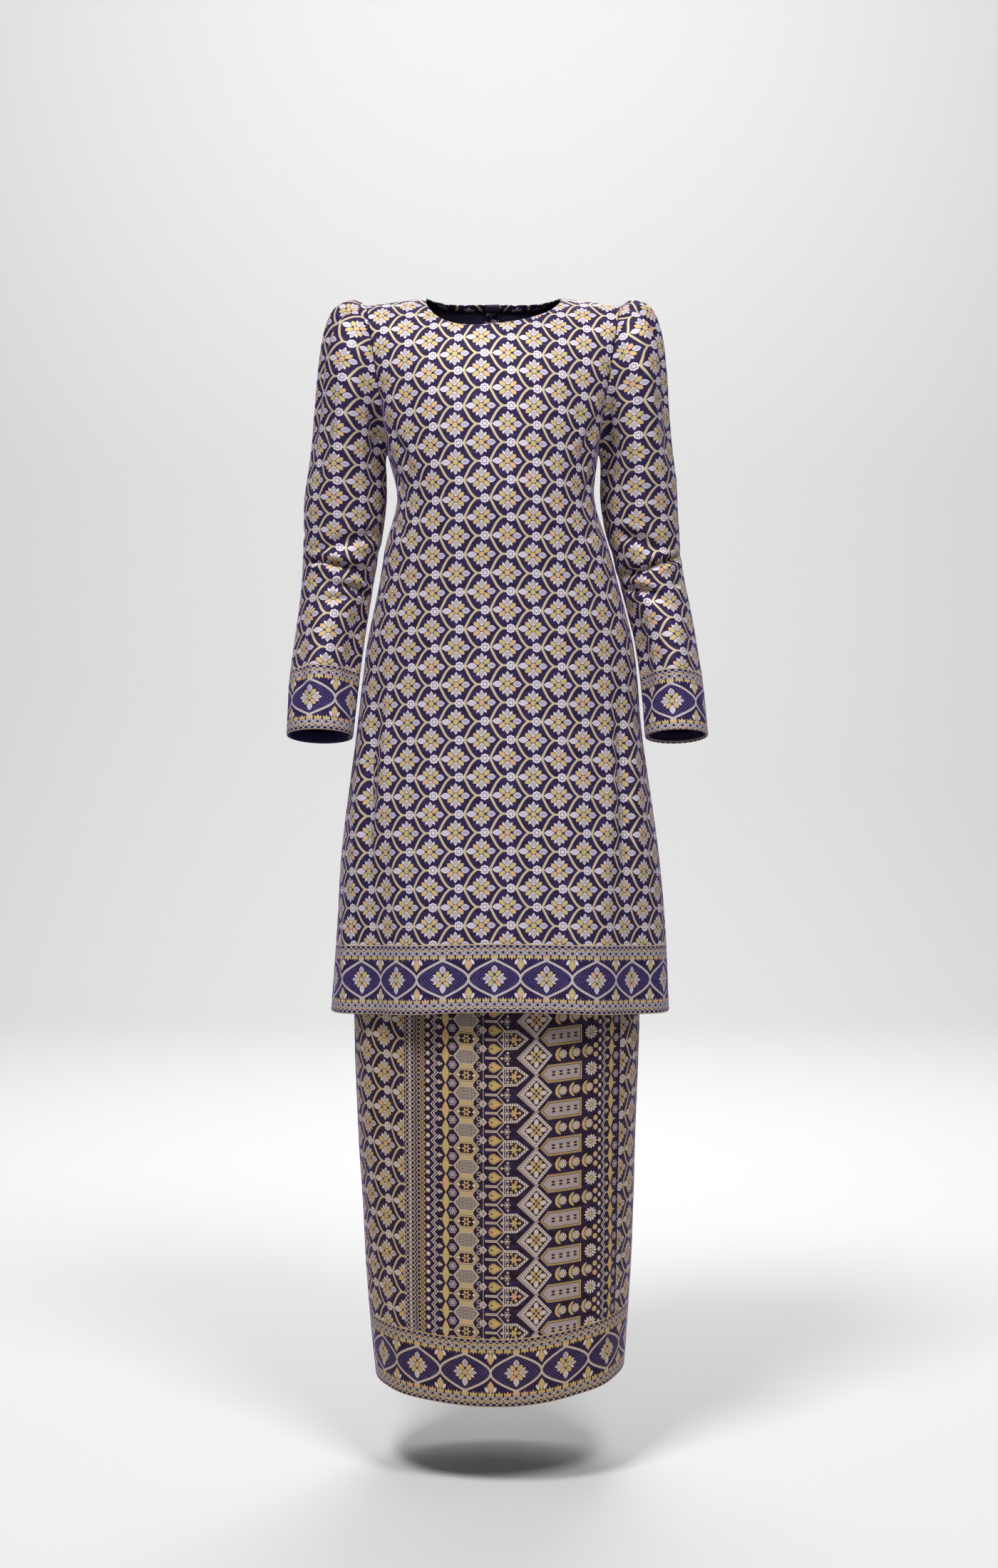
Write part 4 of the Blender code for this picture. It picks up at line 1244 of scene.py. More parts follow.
def lay_medallions(weave, x, d, cover):
    """Ogee medallions side by side, with a drop and two leaves in the space between them."""
    low = d & MEDALLION_HALF_HEIGHT
    reach = low.cosine(4 * MEDALLION_HALF_HEIGHT) * HALF_REPEAT
    slope = low.sine(4 * MEDALLION_HALF_HEIGHT) * MEDALLION_STEEPNESS
    wide = abs(x)
    off = (wide - reach) / (slope * slope + 1) ** 0.5
    chevron = (wide + CHEVRON_SLOPE * d).nearest(CHEVRON_PERIOD).near(0.28, 0.5)
    weave.lay(chevron & (off + CHEVRON_INSET).inside() & cover, "violet_line")
    weave.lay(off.near(1.35) & cover, "beige")
    far = abs(HALF_REPEAT - wide)
    up = DROP_FOOT - d
    leaf_up = up - DROP_LEAF[1]
    leaf = oval(far - DROP_LEAF[0] - DROP_LEAF_LEAN * leaf_up, leaf_up, *DROP_LEAF_SIZE)
    weave.lay(leaf.inside() & cover, "silver")
    stalks = far.near(0.5) | (far - (up - STALK_START) * STALK_SLOPE).near(0.5)
    weave.lay(stalks & (up - BULB_FOOT).near(STALK_HALF_LENGTH) & cover, "gold")
    swell = ((up - BULB_FOOT) / BULB_BELLY) & 1.0
    shrink = ((up - BULB_SHOULDER) / BULB_LENGTH) | 0.0
    bulb = BULB_HALF_WIDTH * swell * (1 - shrink**1.5)
    weave.lay(((far - bulb) * 0.8).inside() & cover, "gold")
    weave.sink(oval(far, up - DROP_VEIN, *DROP_VEIN_SIZE).near(0.25) & cover, "vine")


def lay_songket(weave, u, v, start, border_start):
    """The lattice above the border, and the border up from the edge."""
    x, y, tie_x, tie_y = lattice_place(u, v, start)
    above = v > BORDER_HEIGHT
    d = abs(v - BORDER_MIDDLE)
    weave.colour = above.paint(ground_colour(u, v, "border_ground"), weave.colour)
    lay_vines(weave, x, y, tie_x, tie_y, above)
    lay_rosette(weave, tie_x, tie_y, above)
    medallion_x = (u - border_start).nearest(REPEAT_ACROSS)
    lay_medallions(weave, medallion_x, d, (d < CROWN_FOOT) & (1 - above))
    flower_x = above.choose(BORDER_FLOWER * (v - BORDER_MIDDLE), x)
    flower_y = above.choose(BORDER_FLOWER * medallion_x, y)
    lay_flower(weave, flower_x, flower_y)
    banded = (v > 0) & (1 - above)
    lay_border_bands(weave, u - border_start, banded.choose(BORDER_HEIGHT * 2, d))


def lay_chain_columns(weave, u, rows):
    """The head panel's narrow edge: chains, a zigzag and a gold interlace."""
    for column in CHAIN_COLUMNS:
        weave.lay(chain(u - column, rows, 2.8, LINK).near(0.75), "beige")
    zigzag = abs(rows.nearest(LINK)) * ZIGZAG_SLOPE - ZIGZAG_DEPTH
    weave.lay((u - ZIGZAG_LINE - zigzag).near(0.9), "silver_shade")
    weave.lay((u - CHAIN_LINE).near(0.5), "silver")
    weave.lay(chain(u - INTERLACE, rows, 3.3, LINK).near(0.85), "gold")
    weave.lay(disc(u - INTERLACE, (rows - LINK / 2).nearest(LINK), 0.7).inside(), "silver")


def lay_dot_columns(weave, u, rows, even, between):
    """A group that stands at both sides: dots, a double zigzag, trefoils, crosses and flowers."""
    x = (u > DIAMONDS).choose(u - LEFT_GROUP, (u - RIGHT_GROUP) * RIGHT_GROUP_SPREAD)
    fine = rows.nearest(FINE_ROW)
    weave.lay(disc(x, fine, 3.0).inside(), "silver_shade")
    weave.lay(disc(x, fine, 1.8).inside(), "silver")
    zigzag = x - ZIGZAG_STEP + abs(fine)
    weave.lay((abs(zigzag) - 1.6).near(0.62), "silver")
    weave.lay(petals(x - TREFOIL_STEP, between, 3, 1.2, 3.2).inside(), "beige")
    cross_x = abs(x - CROSS_STEP)
    side = (abs(even) - CROSS_HALF_HEIGHT * (1 - cross_x / CROSS_HALF_WIDTH)) * 0.9
    weave.lay(side.inside(), "beige")
    blade = cross_x - BLADE_HALF_WIDTH * even.cosine(ROW)
    weave.lay_rimmed(blade, "gold", 0.6)
    weave.sink((blade + 1.7).near(0.28), "vine")
    weave.lay(petals(x - FLOWER_STEP, between, 6, 3.9, 5.2).inside(), "lilac")
    weave.sink(holes(x - FLOWER_STEP, between, 6, 3.1, 0.9))


def lay_hexagons(weave, u, rows, even, between):
    """Hexagons filled in turn with a silver net and a gold flower, with gold bars between."""
    x, y = abs(u - HEXAGONS), abs(even)
    inside = x < HEXAGON_HALF_WIDTH + 1
    edge = ((x + HEXAGON_SLOPE * y - HEXAGON_HALF_WIDTH) * 0.777) | (y - HEXAGON_HALF_HEIGHT)
    gold_row = abs(rows.nearest(ROW)) > FINE_ROW
    golden = gold_row & inside
    weave.sink((edge - 0.7).inside() & inside)
    weave.lay(edge.inside() & inside, "beige")
    weave.sink((edge + 1.6).inside() & (gold_row | net(u, rows, 3.4)) & inside)
    weave.lay((edge + 3.0).near(0.8) & golden, "gold")
    flower = petals(u - HEXAGONS, even, 6, 1.0, 5.4)
    weave.lay((flower | (1.6 - length(x, even))).inside() & golden, "gold")
    weave.lay(disc(x - BEADS, even, 1.6).inside() & gold_row, "silver")
    weave.lay(between.near(1.5) & x.near(8.8), "gold")
    rings = disc(u - HEXAGON_RING, abs(between) - 3.6, 2.1)
    weave.lay(abs(rings).near(0.6), "silver_shade")


def lay_hearts(weave, u, rows, even, between):
    """Net diamonds on a thin line, short bars, and scalloped hearts that point to the left seam."""
    x = u - NET_DIAMONDS
    weave.lay(x.near(0.4), "silver_shade")
    diamond = rhomb(x, between, 4.6, 5.2)
    weave.lay_rimmed(diamond, "silver", 0.6)
    weave.sink((diamond + 0.9).inside() & net(u, rows, 2.6))
    weave.lay(even.near(1.5) & (u - SHORT_BARS).near(6.8), "beige")
    weave.sink(even.near(0.25) & (u - SHORT_BARS).near(5.6))
    x = u - HEARTS
    pointed = (abs(between) + HEART_SLOPE * x - HEART_POINT) | (0 - x)
    heart = petals(x, between, 10, 5.4, 6.4) & pointed
    weave.lay_rimmed(heart, "gold", 0.7)
    weave.sink((heart + 1.3).near(0.5) & ((x * 2 + between).sine(2.4) > 0.2))
    weave.sink(oval(x + 2.2, between, 1.7, 0.8).inside())
    reach = POINTS_RIGHT - (POINTS_RIGHT - POINTS_LEFT) / FINE_ROW * abs(between)
    weave.lay((u - reach).near(0.95), "beige")


def lay_arrows(weave, u, far_rows, even):
    """Arrow-headed hexagons with dotted edges, and clusters of round dots inside and between them."""
    high = abs(far_rows)
    head = ((u - ARROW_TIP + ARROW_SLOPE * high) * 0.63) | (high - ARROW_HALF_HEIGHT)
    edge = (head | (POINTS_RIGHT - 2 - u)) + 1.5
    dots = (u.sine(2.9) > -0.2) | (edge.near(0.9) < 0.5)
    weave.lay(edge.near(1.5) & (u > ARROW_FOOT) & dots, "silver")
    room = (u > POINTS_LEFT + 4) & (u < ARROW_TIP - 6)
    x = u - DOT_FLOWER
    weave.lay(petals(x, even, 6, 1.6, 4.6).inside() & room, "silver_shade")
    weave.sink(holes(x, even, 6, 2.2, 0.6) & room)
    weave.lay(disc(x, even, 1.2).inside(), "silver")
    for place, aside, radius in PEARLS:
        weave.lay(disc(u - place, abs(even) - aside, radius).inside(), "beige")
    weave.lay(petals(u - GOLD_DOT_FLOWER, far_rows, 6, 1.8, 4.8).inside(), "gold")
    for place, aside, radius in GOLD_PEARLS:
        weave.lay(disc(u - place, high - aside, radius).inside(), "gold")


def lay_diamonds(weave, u, near_rows):
    """A silver chevron and, in its teeth, diamonds with dotted edges and a flower of eight petals."""
    x = u - DIAMONDS
    ax, ay = abs(x), abs(near_rows)
    chevron = u - CHEVRON_LEFT - CHEVRON_STEEPNESS * ay
    weave.sink(chevron.near(4.2) & (u > CHEVRON_LEFT - 4))
    weave.lay(chevron.near(2.7), "silver_shade")
    edge = rhomb(x, near_rows, *DIAMOND_SIZE)
    weave.sink((edge - 0.2).inside())
    weave.lay((edge + 2.0).near(1.7), "silver")
    weave.sink((edge + 2.0).near(0.65) & (near_rows.sine(2.6) > -0.15))
    gold_x, gold_y = ax - DIAMOND_BLADES[0], ay - DIAMOND_BLADES[1]
    blade = oval((gold_x + gold_y) * 0.707, (gold_x - gold_y) * 0.707, 4.0, 2.1)
    weave.lay(blade.inside(), "gold")
    for silver in (oval(ax - DIAMOND_OVALS[0], ay, 4.2, 2.9), oval(ax, ay - DIAMOND_OVALS[1], 2.9, 4.2)):
        weave.lay(silver.inside(), "silver")
        weave.sink((silver + 1.2).near(0.3), "silver_shade")
    weave.lay(disc(x, near_rows, 1.6).inside(), "gold")


def lay_bars(weave, u, far_rows):
    """Silver bars with beaded gold edges and a row of dark marks, pointed at one end."""
    high = abs(far_rows)
    bar = (high - BAR_HALF_HEIGHT) | (((BAR_TIP - u) * BAR_SLOPE + high) * 0.68) | (u - BAR_END)
    weave.sink((bar - 0.8).inside())
    bead = (u.sine(2.4) > -0.4) | (bar + 1.6).inside()
    weave.lay(bar.inside() & bead, "gold")
    weave.sink((bar + 2.6).near(0.45))
    hatch = (u + far_rows).sine(1.9) > 0.0
    weave.lay((bar + 3.0).inside(), "silver_shade")
    weave.lay((bar + 3.6).inside() & hatch, "lilac")
    along = abs((u - BAR_MARKS).nearest(MARK_PERIOD))
    marked = (u - BAR_MARKS - 1.5 * MARK_PERIOD).near(2 * MARK_PERIOD)
    mark = (along - MARK_HALF_WIDTH - MARK_SLOPE * high) | (high - MARK_HALF_HEIGHT)
    weave.sink(mark.inside() & (high > 0.5) & marked)
    weave.lay(rhomb(MARK_PERIOD / 2 - along, high, 1.7, 2.4).inside() & marked, "gold")


def lay_crescents(weave, u, near_rows):
    """Between the bars: gold crescents that hold dotted rosettes."""
    room = (u - CRESCENTS - CRESCENT_PERIOD - 5.0).near(CRESCENT_PERIOD * 1.5)
    lead = CRESCENT_PERIOD / 2 - 3
    x = (u - CRESCENTS - lead).nearest(CRESCENT_PERIOD) + lead
    (disc_place, disc_radius), (hollow_place, hollow_radius) = CRESCENT_DISC, CRESCENT_HOLLOW
    hollow = hollow_radius - length(x - hollow_place, near_rows)
    crescent = disc(x - disc_place, near_rows, disc_radius) | hollow | (x - CRESCENT_END)
    weave.lay(crescent.inside() & room, "gold")
    x = x - CRESCENT_ROSETTE
    weave.lay(petals(x, near_rows, 8, 4.3, 5.4).inside() & room, "silver")
    weave.sink(holes(x, near_rows, 8, 3.6, 0.9) & room)
    weave.lay(disc(x, near_rows, 2.2).inside() & room, "gold")


def lay_daisies(weave, u, near_rows, far_rows):
    """White daisies at the bars' ends, with pairs of gold discs between them."""
    x = u - DAISIES
    daisy = petals(x, far_rows, 12, 5.4, 8.8)
    weave.lay_rimmed(daisy, "silver", 0.9)
    spokes = abs(heading(x, far_rows).sine(math.pi / 3)) > 0.9
    weave.sink(spokes & daisy.inside())
    weave.lay_rimmed(disc(x, far_rows, 2.4), "gold", 0.6)
    weave.lay(disc(u - GOLD_DISCS, abs(near_rows) - 5.6, 3.3).inside(), "gold")


def lay_head_panel(weave, u, v):
    """The head panel's columns from the right seam to the left one; its rows rise a little."""
    rows = v + (ROW_RISE + ROW_CURVE * u) * u - HEAD_ROW
    near_rows, far_rows = rows.nearest(ROW), (rows - HALF_ROW).nearest(ROW)
    even, between = rows.nearest(HALF_ROW), (rows - FINE_ROW).nearest(HALF_ROW)
    lay_chain_columns(weave, u, rows)
    lay_arrows(weave, u, far_rows, even)
    lay_hearts(weave, u, rows, even, between)
    lay_hexagons(weave, u, rows, even, between)
    lay_dot_columns(weave, u, rows, even, between)
    lay_crescents(weave, u, near_rows)
    lay_bars(weave, u, far_rows)
    lay_diamonds(weave, u, near_rows)
    lay_daisies(weave, u, near_rows, far_rows)


def relieve(shader, height, strength):
    """The weave's fine relief."""
    bump = height.add("Bump", None, {"Strength": strength, "Distance": WEAVE_RELIEF, "Height": height})
    connect(bump, shader, "Normal")


def finish_cloth(shader, colour, metal, u, v, cast=(1.0, 1.0, 1.0, 1.0)):
    """Thread by thread: fine ribs in the relief and as painted shade in the colour, satin ground and
    glinting metal.
    """
    # Painted shade: each fine rib's darker side is multiplied towards the rib shade colour, then the
    # whole colour by the cast
    for amount, shade in (((v.sine(RIB) * 0.5 + 0.5) * RIB_PAINTED_SHADE, RIB_PAINTED_SHADE_COLOUR), (1.0, cast)):
        sockets = {0: amount, 6: colour, 7: shade}
        colour = colour.add("Mix", {"data_type": "RGBA", "blend_type": "MULTIPLY"}, sockets, output=2)
    connect(colour, shader, "Base Color")
    connect(ROUGHNESS - METAL_SMOOTHNESS * metal, shader, "Roughness")
    connect(METALLIC * metal, shader, "Metallic")
    relieve(shader, u.sine(WEFT) * v.sine(WEFT), SONGKET_RELIEF)
    shader.inputs["Specular IOR Level"].default_value = SPECULAR
    shader.inputs["Sheen Weight"].default_value = SHEEN
    shader.inputs["Sheen Roughness"].default_value = SHEEN_ROUGHNESS
    shader.inputs["Sheen Tint"].default_value = srgb(*SHEEN_TINT)


def songket_cloth():
    material, shader, u, v = new_material("songket")
    weave = Weave(ground_colour(u, v, "ground"), gold_tint(u, v))
    lay_songket(weave, u, v, 0.0, BORDER_SHIFT)
    finish_cloth(shader, weave.colour, weave.metal, u, v)
    return material


def head_panel_cloth():
    """The skirt's front: the head panel stands in the lattice, above the same border."""
    material, shader, u, v = new_material("songket_head_panel")
    gold = gold_tint(u, v)
    weave = Weave(ground_colour(u, v, "ground"), gold)
    lay_songket(weave, u, v, HEAD_LATTICE, HEAD_BORDER)
    head = Weave(ground_colour(u, v, "head_ground"), gold)
    lay_head_panel(head, u, v)
    panel = (v > BORDER_HEIGHT) & (u > HEAD_FIRST) & (u < HEAD_LAST)
    colour = panel.paint(weave.colour, head.colour)
    finish_cloth(shader, colour, panel.choose(weave.metal, head.metal), u, v, SKIRT_CAST)
    return material


def reverse_cloth():
    """The wrong side: the ground's plain weave, with dull floats where metal thread passes behind."""
    material, shader, u, v = new_material("songket_reverse")
    floats = cloud(u, v, FLOAT_DRIFT).climb(0.52, 0.66) * (v.sine(RIB) * 0.5 + 0.5)
    connect(floats.paint(dye("reverse"), dye("reverse_float")), shader, "Base Color")
    shader.inputs["Roughness"].default_value = REVERSE_ROUGHNESS
    relieve(shader, u.sine(WEFT) * v.sine(WEFT), REVERSE_RELIEF)
    return material


def waistband_cloth():
    """Plain dark cloth of the casing, with two rows of lockstitch."""
    material, shader, u, v = new_material("waistband")
    streaks = cloud(u, v, STREAK_DRIFT, 2.0).climb(0.3, 0.7)
    low, high = ((v - row).near(0.35) for row in CASING_STITCHES)
    stitch = (low | high) & (u.sine(STITCH_LENGTH) > -0.6)
    colour = streaks.paint(dye("waistband"), dye("ground"))
    connect(stitch.paint(colour, dye("thread")), shader, "Base Color")
    shader.inputs["Roughness"].default_value = CASING_ROUGHNESS
    relieve(shader, u.sine(WEFT) * v.sine(WEFT) * (1 - stitch), CASING_RELIEF)
    return material


def small_part_material(name, colour, roughness, grain):
    """A finish for the button's cover and its loop, which have no flat cloth, with painted sheen along
    their threads.
    """
    material, shader, x, z = new_material(name, flat=False)
    weft = z.sine(grain)
    # Painted sheen: each thread turns up to half way towards the ground sheen colour
    light = (weft * 0.5 + 0.5) * 0.5
    connect(light.paint(colour, dye("ground_sheen")), shader, "Base Color")
    shader.inputs["Roughness"].default_value = roughness
    relieve(shader, x.sine(grain) * weft, SMALL_RELIEF)
    return material


MATERIALS_MADE = {}


def material_once(make):
    """A material that several pieces share is made for the first of them."""
    if make.__name__ not in MATERIALS_MADE:
        MATERIALS_MADE[make.__name__] = make()
    return MATERIALS_MADE[make.__name__]


# ---------------------------------------------------------------- pieces


# The casing's gathers: how much their depth grows towards the foot, and how unevenly they stand,
# as waves round the waist, each by its number of periods and size
GATHER_TOP_DEPTH, GATHER_WANDER, GATHER_SWELL = 0.6, ((7, 1.0), (11, 0.8)), (5, 0.25)
GATHER_START = 1.3


def tunic_panel_sheet(face, first, last, columns):
    """A tunic panel's sheet and its core, between two shares across the body."""
    rises = np.concatenate([spread(-1, 0, BODY_ROWS)[:-1], spread(0, 1, YOKE_ROWS)])
    across, rise = np.meshgrid(spread(first, last, columns), rises)
    where, reach = yoke_place(face, across, np.maximum(rise, 0.0))
    where = np.where(rise > 0, where, across)
    reach = np.where(rise > 0, reach, rise)
    points = tunic_surface(face, where, reach)
    table = tunic_surface(face, *np.meshgrid(spread(-1, 1, TABLE_COLUMNS), spread(-1, 1, TABLE_ROWS)))
    u, v = lengths_along(table)
    middle = [TABLE_COLUMNS // 2]
    places = np.stack([from_middle(u) + table[:, middle, 0], v], axis=-1)[::BODY_NET, ::BODY_NET]
    held = np.zeros(places.shape[:2], dtype=bool)
    held[0], held[:, places.shape[1] // 2] = True, True
    places = laid_flat(table[::BODY_NET, ::BODY_NET], places, held)
    cloth = lookup(places, (where + 1) / 2, (reach + 1) / 2)
    core = points * (0, 0, 1)
    core[..., 2] = np.minimum(core[..., 2], CHEST_HEIGHT)
    return Sheet(points, outward(points, core), cloth), core


def sleeve_sheet(side):
    """A sleeve's sheet and its core, from the cuff up to the armhole."""
    rows = np.concatenate([spread(2, 1, ARM_ROWS)[:-1], spread(1, 0, SLEEVE_HEAD_ROWS)])
    points = sleeve_surface(side, *np.meshgrid(spread(-1, 1, SLEEVE_COLUMNS), rows))
    core = np.repeat(points.mean(axis=1, keepdims=True), SLEEVE_COLUMNS + 1, axis=1)
    return Sheet(points, outward(points, core), sleeve_cloth(points, FLAT_HEAD_START)), core


def skirt_sheet(face):
    """A skirt panel's sheet and its core, from the hem up to the waistband."""
    grid = np.meshgrid(spread(-1, 1, SKIRT_COLUMNS), spread(0, WAISTBAND_FOOT, SKIRT_ROWS))
    points = skirt_surface(face, *grid)
    u, v = lengths_along(points)
    u = from_middle(u) + points[:, [SKIRT_COLUMNS // 2], 0]
    core = points * (0, 0, 1)
    return Sheet(points, outward(points, core), np.stack([u, v], axis=-1)), core


def hand_over(piece, node):
    """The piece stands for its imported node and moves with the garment."""
    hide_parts(node)
    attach(piece, BODY)


def panel_edges(foot_turning, top_turning="seam_turning"):
    """How a panel's foot, its top and its sides are turned in, each as (roll, turning)."""
    feel = bpy.context.scene.kurung_cloth
    foot = (feel.hem_roll, getattr(feel, foot_turning))
    return foot, (feel.seam_roll, getattr(feel, top_turning)), (feel.seam_roll, feel.seam_turning)


def sew_panel(node, sheet_and_core, creases, edges, cut, cloth):
    """One panel, creased and with its edges turned in, and its size on the cutting table."""
    sheet, core = sheet_and_core
    materials = material_once(cloth), material_once(reverse_cloth)
    sheet = with_turnings(pressed(sheet, creases, len(node), core), *edges)
    placed = sheet._replace(cloth=sheet.cloth * (cut.turn, cut.slack) + (cut.across, cut.up))
    piece = sew_sheet(node + "_cloth", placed, materials)
    hand_over(piece, node)


def sew_tunic():
    edges = panel_edges("hem_turning", "neck_turning")
    for node, face, first, last, creases, cut in (
        ("tunic_front", FRONT, -1, 1, TUNIC_FRONT_CREASES, FRONT_CUT),
        ("tunic_back_right", BACK, -1, 0, TUNIC_BACK_CREASES, BACK_CUT),
        ("tunic_back_left", BACK, 0, 1, TUNIC_BACK_CREASES, BACK_CUT),
    ):
        sheet = tunic_panel_sheet(face, first, last, TUNIC_COLUMNS * (last - first) // 2)
        sew_panel(node, sheet, creases, edges, cut, songket_cloth)


def sew_sleeves():
    edges = panel_edges("cuff_turning")
    for node, side, creases, cut in (
        ("sleeve_right", RIGHT, SLEEVE_RIGHT_CREASES, SLEEVE_RIGHT_CUT),
        ("sleeve_left", LEFT, SLEEVE_LEFT_CREASES, SLEEVE_LEFT_CUT),
    ):
        sew_panel(node, sleeve_sheet(side), creases, edges, cut, songket_cloth)


def sew_skirt():
    edges = panel_edges("hem_turning")
    for node, face, creases, cut, cloth in (
        ("skirt_front", FRONT, SKIRT_FRONT_CREASES, SKIRT_FRONT_CUT, head_panel_cloth),
        ("skirt_back", BACK, SKIRT_BACK_CREASES, SKIRT_BACK_CUT, songket_cloth),
    ):
        sew_panel(node, skirt_sheet(face), creases, edges, cut, cloth)


def gathered_ring():
    """The casing's outer face, gathered by its elastic, with a few columns more than once round."""
    feel = bpy.context.scene.kurung_cloth
    turns = np.arange(-RING_OVERLAP, RING_COLUMNS + RING_OVERLAP + 1) * (2 * np.pi / RING_COLUMNS)
    angle, rise = np.meshgrid(turns, spread(WAISTBAND_FOOT, 1, CASING_ROWS))
    points = skirt_ring(angle, rise)
    sag = (1 - rise) / (1 - WAISTBAND_FOOT)
    (slow, slow_size), (quick, quick_size) = GATHER_WANDER
    wander = slow_size * np.sin(angle * slow + GATHER_START) + quick_size * np.sin(angle * quick + sag)
    periods, swell = GATHER_SWELL
    wave = np.sin(angle * feel.gathers + wander) * (1 - swell + swell * np.sin(angle * periods))
    core = points * (0, 0, 1)
    depth = feel.gather_depth * (GATHER_TOP_DEPTH + (1 - GATHER_TOP_DEPTH) * sag)
    points = points + unit(points - core) * (depth * (wave - 1) / 2)[..., None]
    return Sheet(points, outward(points, core), np.stack(lengths_along(points), axis=-1))


def sew_waistband():
    """The elastic casing: folded over at the top and down inside, and closed all round."""
    feel = bpy.context.scene.kurung_cloth
    sheet = roll_edge(gathered_ring(), feel.seam_roll, feel.seam_turning)
    inner_height = WAISTBAND_HEIGHT - 2 * feel.casing_roll
    sheet = flipped(roll_edge(flipped(sheet, 0), feel.casing_roll, inner_height), 0)
    sheet = Sheet(*(part[:, RING_OVERLAP:-RING_OVERLAP] for part in sheet))
    band = material_once(waistband_cloth)
    piece = sew_sheet("skirt_waistband_cloth", sheet, (band, band), closed=True)
    hand_over(piece, "skirt_waistband")


def button_frame():
    """The button's middle, and the directions across, up and out of the cloth beneath it."""
    low, high = (np.array(corner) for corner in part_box("neck_button"))
    across = np.array([[0.0, BUTTON_STEP, 0.0]])
    rise = np.array([[BUTTON_RISE, BUTTON_RISE, BUTTON_RISE - BUTTON_STEP]])
    middle, beside, below = tunic_surface(BACK, *yoke_place(BACK, across, rise))[0]
    across, up = unit(beside - middle), unit(middle - below)
    out = unit(np.cross(up, across))
    return (low + high) / 2, np.stack([across, np.cross(out, across), out], axis=1)


def settle(piece, material):
    """Turns and moves a small part from the origin to its place on the back, in its mesh."""
    middle, turned = button_frame()
    piece.matrix_world = Matrix.LocRotScale(Vector(middle), Matrix(turned.tolist()).to_quaternion(), None)
    bpy.ops.object.transform_apply(location=True, rotation=True, scale=True)
    piece.data.shade_smooth()
    piece.data.materials.append(material)


def cover_button():
    """A domed button with its cover gathered under the edge: a circle, extruded ring by ring."""
    select_nothing()
    first = BUTTON_RINGS[0]
    bpy.ops.mesh.primitive_circle_add(
        vertices=BUTTON_SIDES, radius=first.radius, fill_type="NGON", location=(0, 0, first.height)
    )
    piece = bpy.context.object
    piece.name = piece.data.name = "neck_button_covered"
    bpy.ops.object.transform_apply(location=True)
    bpy.ops.object.mode_set(mode="EDIT")
    bpy.ops.mesh.select_all(action="SELECT")
    for lower, upper in zip(BUTTON_RINGS, BUTTON_RINGS[1:]):
        rise = upper.height - lower.height
        bpy.ops.mesh.extrude_region_move(TRANSFORM_OT_translate={"value": (0, 0, rise)})
        share = upper.radius / lower.radius
        bpy.ops.transform.resize(value=(share, share, 1))
    bpy.ops.mesh.select_all(action="SELECT")
    bpy.ops.mesh.normals_make_consistent(inside=False)
    bpy.ops.object.mode_set(mode="OBJECT")
    apply_modifier(piece, "SUBSURF", levels=2, render_levels=2)
    settle(piece, small_part_material("button_cover", dye("ground"), COVER_ROUGHNESS, WEFT))
    hand_over(piece, "neck_button")


def sew_loop():
    """The loop of twisted thread that holds the button, sewn to the edge of the right half."""
    turns = np.radians(np.linspace(-LOOP_OPENING, LOOP_OPENING, LOOP_POINTS))
    reach = np.where(np.abs(turns) > np.pi / 2, LOOP_LENGTH, LOOP_HALF_HEIGHT)
    x, y = reach * np.cos(turns), LOOP_HALF_HEIGHT * np.sin(turns)
    select_nothing()
    curve = bpy.data.curves.new("neck_loop", "CURVE")
    curve.dimensions = "3D"
    curve.bevel_depth = LOOP_THREAD
    curve.bevel_resolution = 3
    curve.use_fill_caps = True
    spline = curve.splines.new("POLY")
    spline.points.add(LOOP_POINTS - 1)
    spline.points.foreach_set("co", np.stack([x, y, 0 * x - LOOP_DEPTH, 0 * x + 1], axis=-1).reshape(-1))
    piece = place_in_scene("neck_loop", curve)
    bpy.context.view_layer.objects.active = piece
    piece.select_set(True)
    bpy.ops.object.convert(target="MESH")
    settle(piece, small_part_material("loop_thread", dye("thread"), LOOP_ROUGHNESS, LOOP_TWIST))
    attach(piece, BODY)


# ---------------------------------------------------------------- stage


def place_in_scene(name, data):
    item = bpy.data.objects.new(name, data)
    bpy.context.collection.objects.link(item)
    return item


def lay_backdrop(look):
    """A pale floor that curves up into the wall behind."""
    turns = spread(0, np.pi / 2, COVE_STEPS)
    y = np.concatenate([[-STAGE_DEPTH], STAGE_WALL - COVE_RADIUS * (1 - np.sin(turns)), [STAGE_WALL]])
    z = np.concatenate([[0], COVE_RADIUS * (1 - np.cos(turns)), [STAGE_HEIGHT]]) + FLOOR_HEIGHT
    x = np.array([-STAGE_HALF_WIDTH, STAGE_HALF_WIDTH])
    select_nothing()
    bpy.ops.mesh.primitive_grid_add(x_subdivisions=1, y_subdivisions=len(y) - 1, size=1)
    floor = bpy.context.object
    floor.name = "backdrop"
    places = np.stack([np.tile(x, len(y)), np.repeat(y, 2), np.repeat(z, 2)], axis=-1)
    floor.data.vertices.foreach_set("co", places.reshape(-1))
    floor.data.update()
    floor.data.shade_smooth()
    material = bpy.data.materials.new("backdrop_paper")
    material.use_nodes = True
    shader = material.node_tree.nodes["Principled BSDF"]
    shader.inputs["Base Color"].default_value = tuple(look.paper)
    shader.inputs["Roughness"].default_value = 0.9
    floor.data.materials.append(material)


def hang_lamp(name, lamp, power):
    light = bpy.data.lights.new(name, "AREA")
    light.energy = power
    light.size = lamp.size
    item = place_in_scene(name, light)
    item.location = lamp.place
    item.rotation_euler = (Vector(lamp.aim) - Vector(lamp.place)).to_track_quat("-Z", "Y").to_euler()


